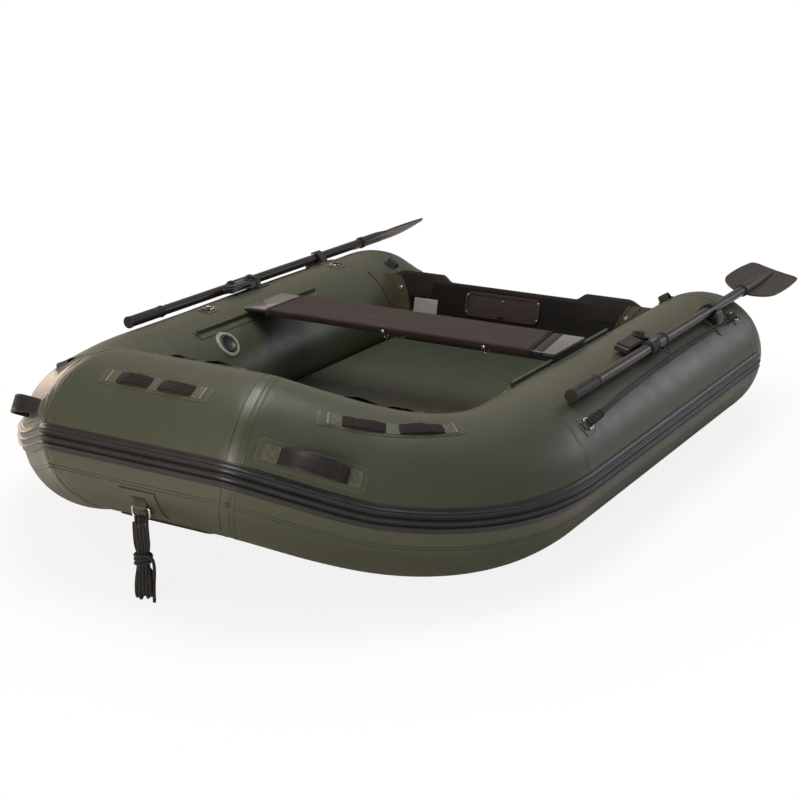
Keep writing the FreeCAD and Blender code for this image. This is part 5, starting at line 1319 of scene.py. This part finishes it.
def cover_rows(grow, y_in=0.0, count=64):
    section = rounded_section(SEAT_X0 - COVER_GAP, SEAT_X1 + COVER_GAP, SEAT_Z0 - COVER_GAP,
                              SEAT_Z1 + COVER_GAP,
                              COVER_R, 7)
    dense = []
    for k, (x, z) in enumerate(section):
        nx, nz = section[(k + 1) % len(section)]
        steps = max(1, int(math.hypot(nx - x, nz - z) / 0.008))
        dense += [(x + (nx - x) * i / steps, z + (nz - z) * i / steps) for i in range(steps)]
    cx, cz = (SEAT_X0 + SEAT_X1) / 2, (SEAT_Z0 + SEAT_Z1) / 2
    rings = []
    for q in lin(0, 1, count):
        ring = []
        for x, z in dense:
            a, b = cover_end(x, -1) + y_in, cover_end(x, 1) - y_in
            y = a + (b - a) * q
            upper = z > cz
            wave = 0.0009 * noise1(x * 40 + y * 9, 1.0) + 0.0006 * noise1(y * 31 + x * 12, 2.0)
            mid = 1 - abs(2 * (x - cx) / (SEAT_X1 - SEAT_X0)) ** 6
            edge_fold = 0.0007 * max(0, noise1(y * 70, 5.0)) * (1 - mid)
            lift = (wave + 0.0010) * mid + edge_fold
            if not upper:
                lift = 0.0006 + abs(wave) * 0.6
            end = min(q, 1 - q)
            lift += 0.0008 * math.exp(-end * 60)
            ring.append(vec(x + math.copysign(grow + edge_fold, x - cx) * (abs(x - cx) > 0.095),
                            y, z + math.copysign(grow + lift, z - cz)))
        rings.append(ring)
    return rings


outer_rows = cover_rows(0.0016)
verts, faces = grid_data(outer_rows, closed=True)
cover = make("seat_sleeve", verts, faces, COVER, body="seat", replaces=["seat_cover"], slot="cover_fabric")
thickness = cover.modifiers.new("Cloth", "SOLIDIFY")
thickness.thickness = 0.0011
thickness.offset = 1.0
tidy_mesh(cover)
hems = []
for side in (1, -1):
    for back in (0.006, 0.0085):
        k = -1 if side > 0 else 0
        pts = [p + vec(0, -side * back, 0) + vec(0, 0, math.copysign(0.0016, p[2] - (SEAT_Z0 + SEAT_Z1) / 2))
               for p in outer_rows[k]]
        hems.append(sweep(pts, 0.00035, 5, closed=True))
seam = [row[0] + vec(0.0012, 0, -0.0002) for row in outer_rows[1:-1]]
hems.append(sweep(seam, 0.0008, 6))
stitching = tidy_mesh(joined("seat_sleeve_stitches", hems, WEB, body="seat", slot="cord"))
liner = rounded_section(SEAT_X0 - 0.0004, SEAT_X1 + 0.0004, SEAT_Z0 - 0.0004, SEAT_Z1 + 0.0006, 0.0046, 6)
rings = [[vec(x, cover_end(x, 1) + reach, z) for x, z in liner] for reach in (-0.008, 0.010, 0.034)]
verts, faces = grid_data(rings, closed=True)
faces += [tuple(reversed(range(len(liner)))), tuple(range(len(verts) - len(liner), len(verts)))]
lining = tidy_mesh(make("seat_sleeve_lining", verts, faces, WEB_BLACK, body="seat", slot="cover_fabric"))

# snaps under the front edge
snaps = []
for y in (-0.028, 0.300):
    def g(px, py, h=0.0, y=y):
        return vec(SEAT_X1 + 0.0030 + h, y + px, SEAT_Z0 + 0.002 + py)
    snaps.append(turned_parts(g, [(0.0062, 0.0), (0.0062, 0.0012), (0.0050, 0.0024), (0.0022, 0.0028),
                                  (0.0004, 0.0028)],
                              24))
tidy_mesh(joined("seat_snaps", snaps, STEEL, body="seat", slot="stainless"))

# ------------------------------------------------------------------ transom dressing
RAKE = math.radians(13.5)
BX, BZ = vec(math.cos(RAKE), 0, math.sin(RAKE)), vec(-math.sin(RAKE), 0, math.cos(RAKE))
FOOT = vec(-0.615, 0, 0)


def board(y, up, out=0.0):
    """Point on the transom's front face: across, up the board, and proud of it."""
    return FOOT + vec(0, y, 0) + BZ * up + BX * out


def plate_parts(y0, y1, u0, u1, t, corner, base=0.0):
    """A thin plate with rounded corners and softened rim on the board's face."""
    def f(x, y, h=0.0):
        return board(x, y, h + base)
    f.side = 1
    v, fs, uv = patch_sheet(f, y0, y1, u0, u1, t, corner, soft=0.0005, drop=0.0002)
    return v, [tuple(reversed(q)) for q in fs], uv


def s_step(a, b, n=7):
    """Top edge from a to b in a soft S."""
    return [(a[0] + (b[0] - a[0]) * q, a[1] + (b[1] - a[1]) * (q * q * (3 - 2 * q))) for q in lin(0, 1, n)]


def side_edge(angle):
    """The board's side, beside the tube."""
    turn = math.radians(angle)
    return SIDE_Y - (R + 0.0045) * math.cos(turn), (TUBE_Z + (R + 0.0045) * math.sin(turn)) / math.cos(RAKE)


TOP = 0.3835
top_edge = s_step((0.4655, TOP - 0.0225), (0.404, TOP), 6) + s_step((0.268, TOP), (0.228, 0.3620), 8)
port_half = [side_edge(a) for a in lin(-44, 48, 20)] + top_edge
outline = port_half + [(-y, up) for y, up in reversed(port_half)]
THICK = 0.024
rings = []
for shrink, out in ((0.0022, 0.0), (0.0007, -0.0007), (0.0, -0.0022), (0.0, -THICK + 0.0022),
                    (0.0007, -THICK + 0.0007), (0.0022, -THICK)):
    ring = []
    for k, (y, up) in enumerate(outline):
        (ya, ua), (yb, ub) = outline[k - 1], outline[(k + 1) % len(outline)]
        long = math.hypot(yb - ya, ub - ua) or 1.0
        ring.append(board(y - (ub - ua) / long * shrink, up + (yb - ya) / long * shrink, out))
    rings.append(ring)
verts, faces = grid_data(rings, closed=True)
faces += [tuple(range(len(outline))), tuple(reversed(range(len(verts) - len(outline), len(verts))))]
tidy_mesh(make("transom_ply", verts, faces, BOARD, replaces=["transom_board"], slot="marine_plywood"))

for word in ("port", "starboard"):
    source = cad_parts[word + "_transom_holder"]
    bm = bmesh.new()
    bm.from_mesh(source.data)
    bm.transform(source.matrix_world)
    cut = bmesh.ops.bisect_plane(bm, geom=list(bm.verts) + list(bm.edges) + list(bm.faces),
                                 plane_co=board(0, TOP - 0.0185), plane_no=BZ, clear_outer=True)
    bmesh.ops.contextual_create(bm, geom=[e for e in cut["geom_cut"] if isinstance(e, bmesh.types.BMEdge)])
    mesh = bpy.data.meshes.new(word + "_holder")
    bm.to_mesh(mesh)
    bm.free()
    mesh.materials.append(HOLDER)
    holder = bpy.data.objects.new(word + "_holder", mesh)
    bpy.context.scene.collection.objects.link(holder)
    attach(holder, "hull")
    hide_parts(word + "_transom_holder")

pads = []
for sgn in (1, -1):
    y0, y1 = sorted((sgn * 0.292, sgn * 0.418))
    pads.append(plate_parts(y0, y1, 0.300, 0.376, 0.0014, 0.008))
joined_uv("transom_corner_pads", pads, BOARD, slot="plate_plastic")
label = plate_parts(-0.357, -0.267, 0.2375, 0.297, 0.0009, 0.0015)
joined_uv("bare_plate", [label], LABEL, slot="plate_plastic")


def plate_line(y0, y1, u0, u1, corner, r, base):
    pts = [board(x, y, base) for x, y in rect_path(y0, y1, u0, u1, corner, 0.006)]
    return sweep(pts, r, 6, closed=True)


P_LOW, P_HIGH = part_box("transom_inner_plate")
MID_Y = (P_LOW[1] + P_HIGH[1]) / 2
rim = plate_line(MID_Y - 0.116, MID_Y + 0.116, 0.302 - 0.0300, 0.302 + 0.0300, 0.020, 0.0010, 0.0042)
rim2 = plate_line(MID_Y - 0.128, MID_Y + 0.128, 0.302 - 0.0360, 0.302 + 0.0360, 0.020, 0.0008, 0.0068)
tidy_mesh(joined("clamp_plate_lines", [rim, rim2], PLATE, slot="plate_plastic"))


# ------------------------------------------------------------------ oar clips' jaws and patches
OAR_Y, OAR_Z = 0.710, 0.397
# the jaw's outline, outward and up from the oar's axis, and the middle that its ends taper to
JAW = ((-0.004, -0.0165), (0.010, -0.0132), (0.0165, -0.006), (0.0235, 0.001), (0.0275, -0.001),
       (0.0315, -0.012), (0.0345, -0.030), (0.0335, -0.046), (0.0305, -0.0512), (0.0200, -0.0420),
       (0.0089, -0.0340), (-0.004, -0.0255))
JAW_MID = (0.016, -0.024)
JAW_TAPER = 30
# stations along the jaw: place, and how much its end is drawn in
JAW_STATIONS = ((-0.643, 0.0022), (-0.6415, 0.0006), (-0.639, 0.0), (-0.603, 0.0), (-0.6005, 0.0006),
                (-0.599, 0.0022))
jaws, patches = [], []
for sgn in (1, -1):
    rings = []
    for x, shrink in JAW_STATIONS:
        rings.append([vec(x, sgn * (OAR_Y + y + (JAW_MID[0] - y) * shrink * JAW_TAPER),
                          OAR_Z + z + (JAW_MID[1] - z) * shrink * JAW_TAPER) for y, z in JAW])
    verts, faces = grid_data(rings, closed=True)
    faces += [tuple(reversed(range(len(JAW)))), tuple(range(len(verts) - len(JAW), len(verts)))]
    jaws.append((verts, faces))
    f = chart("q", -0.620 - BEND_X, 60, sgn)
    patches.append(patch_sheet(f, -0.034, 0.034, -0.066, 0.052, 0.0036, 0.014, soft=0.0012))
jaws = tidy_mesh(joined("oar_clip_jaws", jaws, NYLON, slot="black_plastic"))
soft = jaws.modifiers.new("Soft", "BEVEL")
soft.width, soft.segments, soft.limit_method, soft.angle_limit = 0.0012, 2, "ANGLE", math.radians(35)
joined_uv("oar_clip_patches", patches, PATCH, slot="patch_fabric")

# ------------------------------------------------------------------ carried-over solids with their materials
CARRY = {
    "wear_strips": STRAKE, "hull_bottom": BOTTOM, "air_floor": OLIVE_IN, "transom_bolts": STEEL,
    "transom_inner_plate": PLATE, "transom_outer_plate": PLATE, "transom_plate_screws": STEEL,
    "drain_fitting": NYLON, "drain_plug": NYLON, "valve_bodies": VALVE, "port_valve_cap": VALVE,
    "starboard_valve_cap": VALVE, "port_seat_track": PATCH, "starboard_seat_track": PATCH,
    "seat_end_brackets": NYLON, "seat_cover_rings": STEEL, "port_rowlock_base": NYLON,
    "starboard_rowlock_base": NYLON, "port_rowlock_turret": NYLON, "starboard_rowlock_turret": NYLON,
    "port_oar_sleeve": NYLON, "starboard_oar_sleeve": NYLON, "port_oar_keeper": WIRE,
    "starboard_oar_keeper": WIRE, "port_oar_shaft": OAR, "starboard_oar_shaft": OAR,
    "port_oar_grip": GRIP, "starboard_oar_grip": GRIP, "port_oar_blade": BLADE,
    "starboard_oar_blade": BLADE, "port_oar_clip": NYLON, "starboard_oar_clip": NYLON,
    "stern_handles": WEB_BLACK, "tow_patch": PATCH,
}
for name, mat in CARRY.items():
    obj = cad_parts[name]
    obj.data.materials.clear()
    obj.data.materials.append(mat)

# ------------------------------------------------------------------ light, floor and camera
world = bpy.data.worlds.new("studio")
bpy.context.scene.world = world
world.use_nodes = True
t = world.node_tree
t.nodes.remove(t.nodes["Background"])


def backdrop(colour, strength):
    bg = t.nodes.new("ShaderNodeBackground")
    bg.inputs[0].default_value = (*colour, 1)
    bg.inputs[1].default_value = strength
    return bg


def either(factor, first, second):
    """First shader where the factor is 0, second where it is 1."""
    mix = t.nodes.new("ShaderNodeMixShader")
    t.links.new(factor, mix.inputs[0])
    t.links.new(first.outputs[0], mix.inputs[1])
    t.links.new(second.outputs[0], mix.inputs[2])
    return mix


path = t.nodes.new("ShaderNodeLightPath")
around = t.nodes.new("ShaderNodeTexCoord")
split = t.nodes.new("ShaderNodeSeparateXYZ")
t.links.new(around.outputs["Generated"], split.inputs[0])
sides = t.nodes.new("ShaderNodeMapRange")
sides.interpolation_type = "SMOOTHSTEP"
sides.inputs["From Min"].default_value = -0.6
sides.inputs["From Max"].default_value = 0.6
t.links.new(split.outputs["Y"], sides.inputs["Value"])
fill = backdrop((0.84, 0.84, 0.84), 0.33)
shine = either(sides.outputs[0], backdrop((1.0, 0.84, 0.72), 0.48), backdrop((0.90, 0.92, 1.0), 0.38))
clear = t.nodes.new("ShaderNodeMath")
clear.operation = "MAXIMUM"
t.links.new(path.outputs["Is Camera Ray"], clear.inputs[0])
t.links.new(path.outputs["Is Transmission Ray"], clear.inputs[1])
seen = either(path.outputs["Is Glossy Ray"], fill, shine)
seen = either(clear.outputs[0], seen, backdrop((1, 1, 1), 1.0))
t.links.new(seen.outputs[0], t.nodes["World Output"].inputs[0])


def area(name, loc, target, size, power, colour=(1, 1, 1), size_y=None):
    lamp = bpy.data.lights.new(name, "AREA")
    lamp.energy = power
    lamp.color = colour
    lamp.shape = "RECTANGLE"
    lamp.size = size
    lamp.size_y = size_y or size
    obj = bpy.data.objects.new(name, lamp)
    obj.location = loc
    obj.rotation_euler = (Vector(target) - Vector(loc)).to_track_quat("-Z", "Y").to_euler()
    bpy.context.scene.collection.objects.link(obj)
    return obj


area("key", (0.2, 0.0, 3.4), (0.2, 0, 0.3), 2.4, 84, (1.0, 0.98, 0.95), 1.6)
area("warm_side", (-0.6, -4.0, 1.1), (0.6, -0.6, 0.3), 1.8, 62, (1.0, 0.82, 0.66), 1.4)
area("front", (4.0, 0.4, 0.9), (0.9, 0.0, 0.2), 1.6, 60, (1.0, 0.91, 0.84), 1.0)
area("cool_side", (-3.1, 2.6, 1.3), (0.0, 0.7, 0.3), 2.0, 16, (0.90, 0.90, 1.0), 1.2)

FLOOR_HALF = 30.0
floor_mesh = bpy.data.meshes.new("studio_floor")
floor_mesh.from_pydata([(x, y, -0.0005) for x, y in ((-FLOOR_HALF, -FLOOR_HALF), (FLOOR_HALF, -FLOOR_HALF),
                                                     (FLOOR_HALF, FLOOR_HALF), (-FLOOR_HALF, FLOOR_HALF))],
                       [], [(0, 1, 2, 3)])
floor = bpy.data.objects.new("studio_floor", floor_mesh)
bpy.context.scene.collection.objects.link(floor)
fm, ft, fb = material("studio_white")
fb.inputs["Base Color"].default_value = (0.90, 0.85, 0.78, 1)
fb.inputs["Roughness"].default_value = 0.9
fb.inputs["Specular IOR Level"].default_value = 0.0
emit = node(ft, "ShaderNodeEmission")
emit.inputs[0].default_value = (1, 1, 1, 1)
emit.inputs[1].default_value = 1.0
spot = node(ft, "ShaderNodeVectorMath", operation="LENGTH")
link(ft, coords(ft, (1.0, 1.25, 1.0)), spot.inputs[0])
near = node(ft, "ShaderNodeMapRange", interpolation_type="SMOOTHSTEP")
for key, value in (("From Min", 1.15), ("From Max", 1.9), ("To Min", 0.86), ("To Max", 1.0)):
    near.inputs[key].default_value = value
link(ft, spot.outputs["Value"], near.inputs["Value"])
fmix = node(ft, "ShaderNodeMixShader")
fpath = node(ft, "ShaderNodeLightPath")
hold = node(ft, "ShaderNodeMath", operation="MULTIPLY")
link(ft, fpath.outputs["Is Camera Ray"], hold.inputs[0])
link(ft, near.outputs[0], hold.inputs[1])
link(ft, hold.outputs[0], fmix.inputs[0])
link(ft, fb.outputs[0], fmix.inputs[1])
link(ft, emit.outputs[0], fmix.inputs[2])
link(ft, fmix.outputs[0], ft.nodes["Material Output"].inputs[0])
floor.data.materials.append(fm)

cam_data = bpy.data.cameras.new("camera")
cam = bpy.data.objects.new("camera", cam_data)
cam.location = (3.930, 2.292, 1.611)
cam.rotation_euler = Vector((-0.822, -0.4823, -0.3025)).to_track_quat("-Z", "Y").to_euler()
cam_data.lens = 72.6
cam_data.sensor_width = 36.0
cam_data.clip_end = 100
bpy.context.scene.collection.objects.link(cam)
bpy.context.scene.camera = cam
bpy.context.scene.view_settings.view_transform = "Standard"
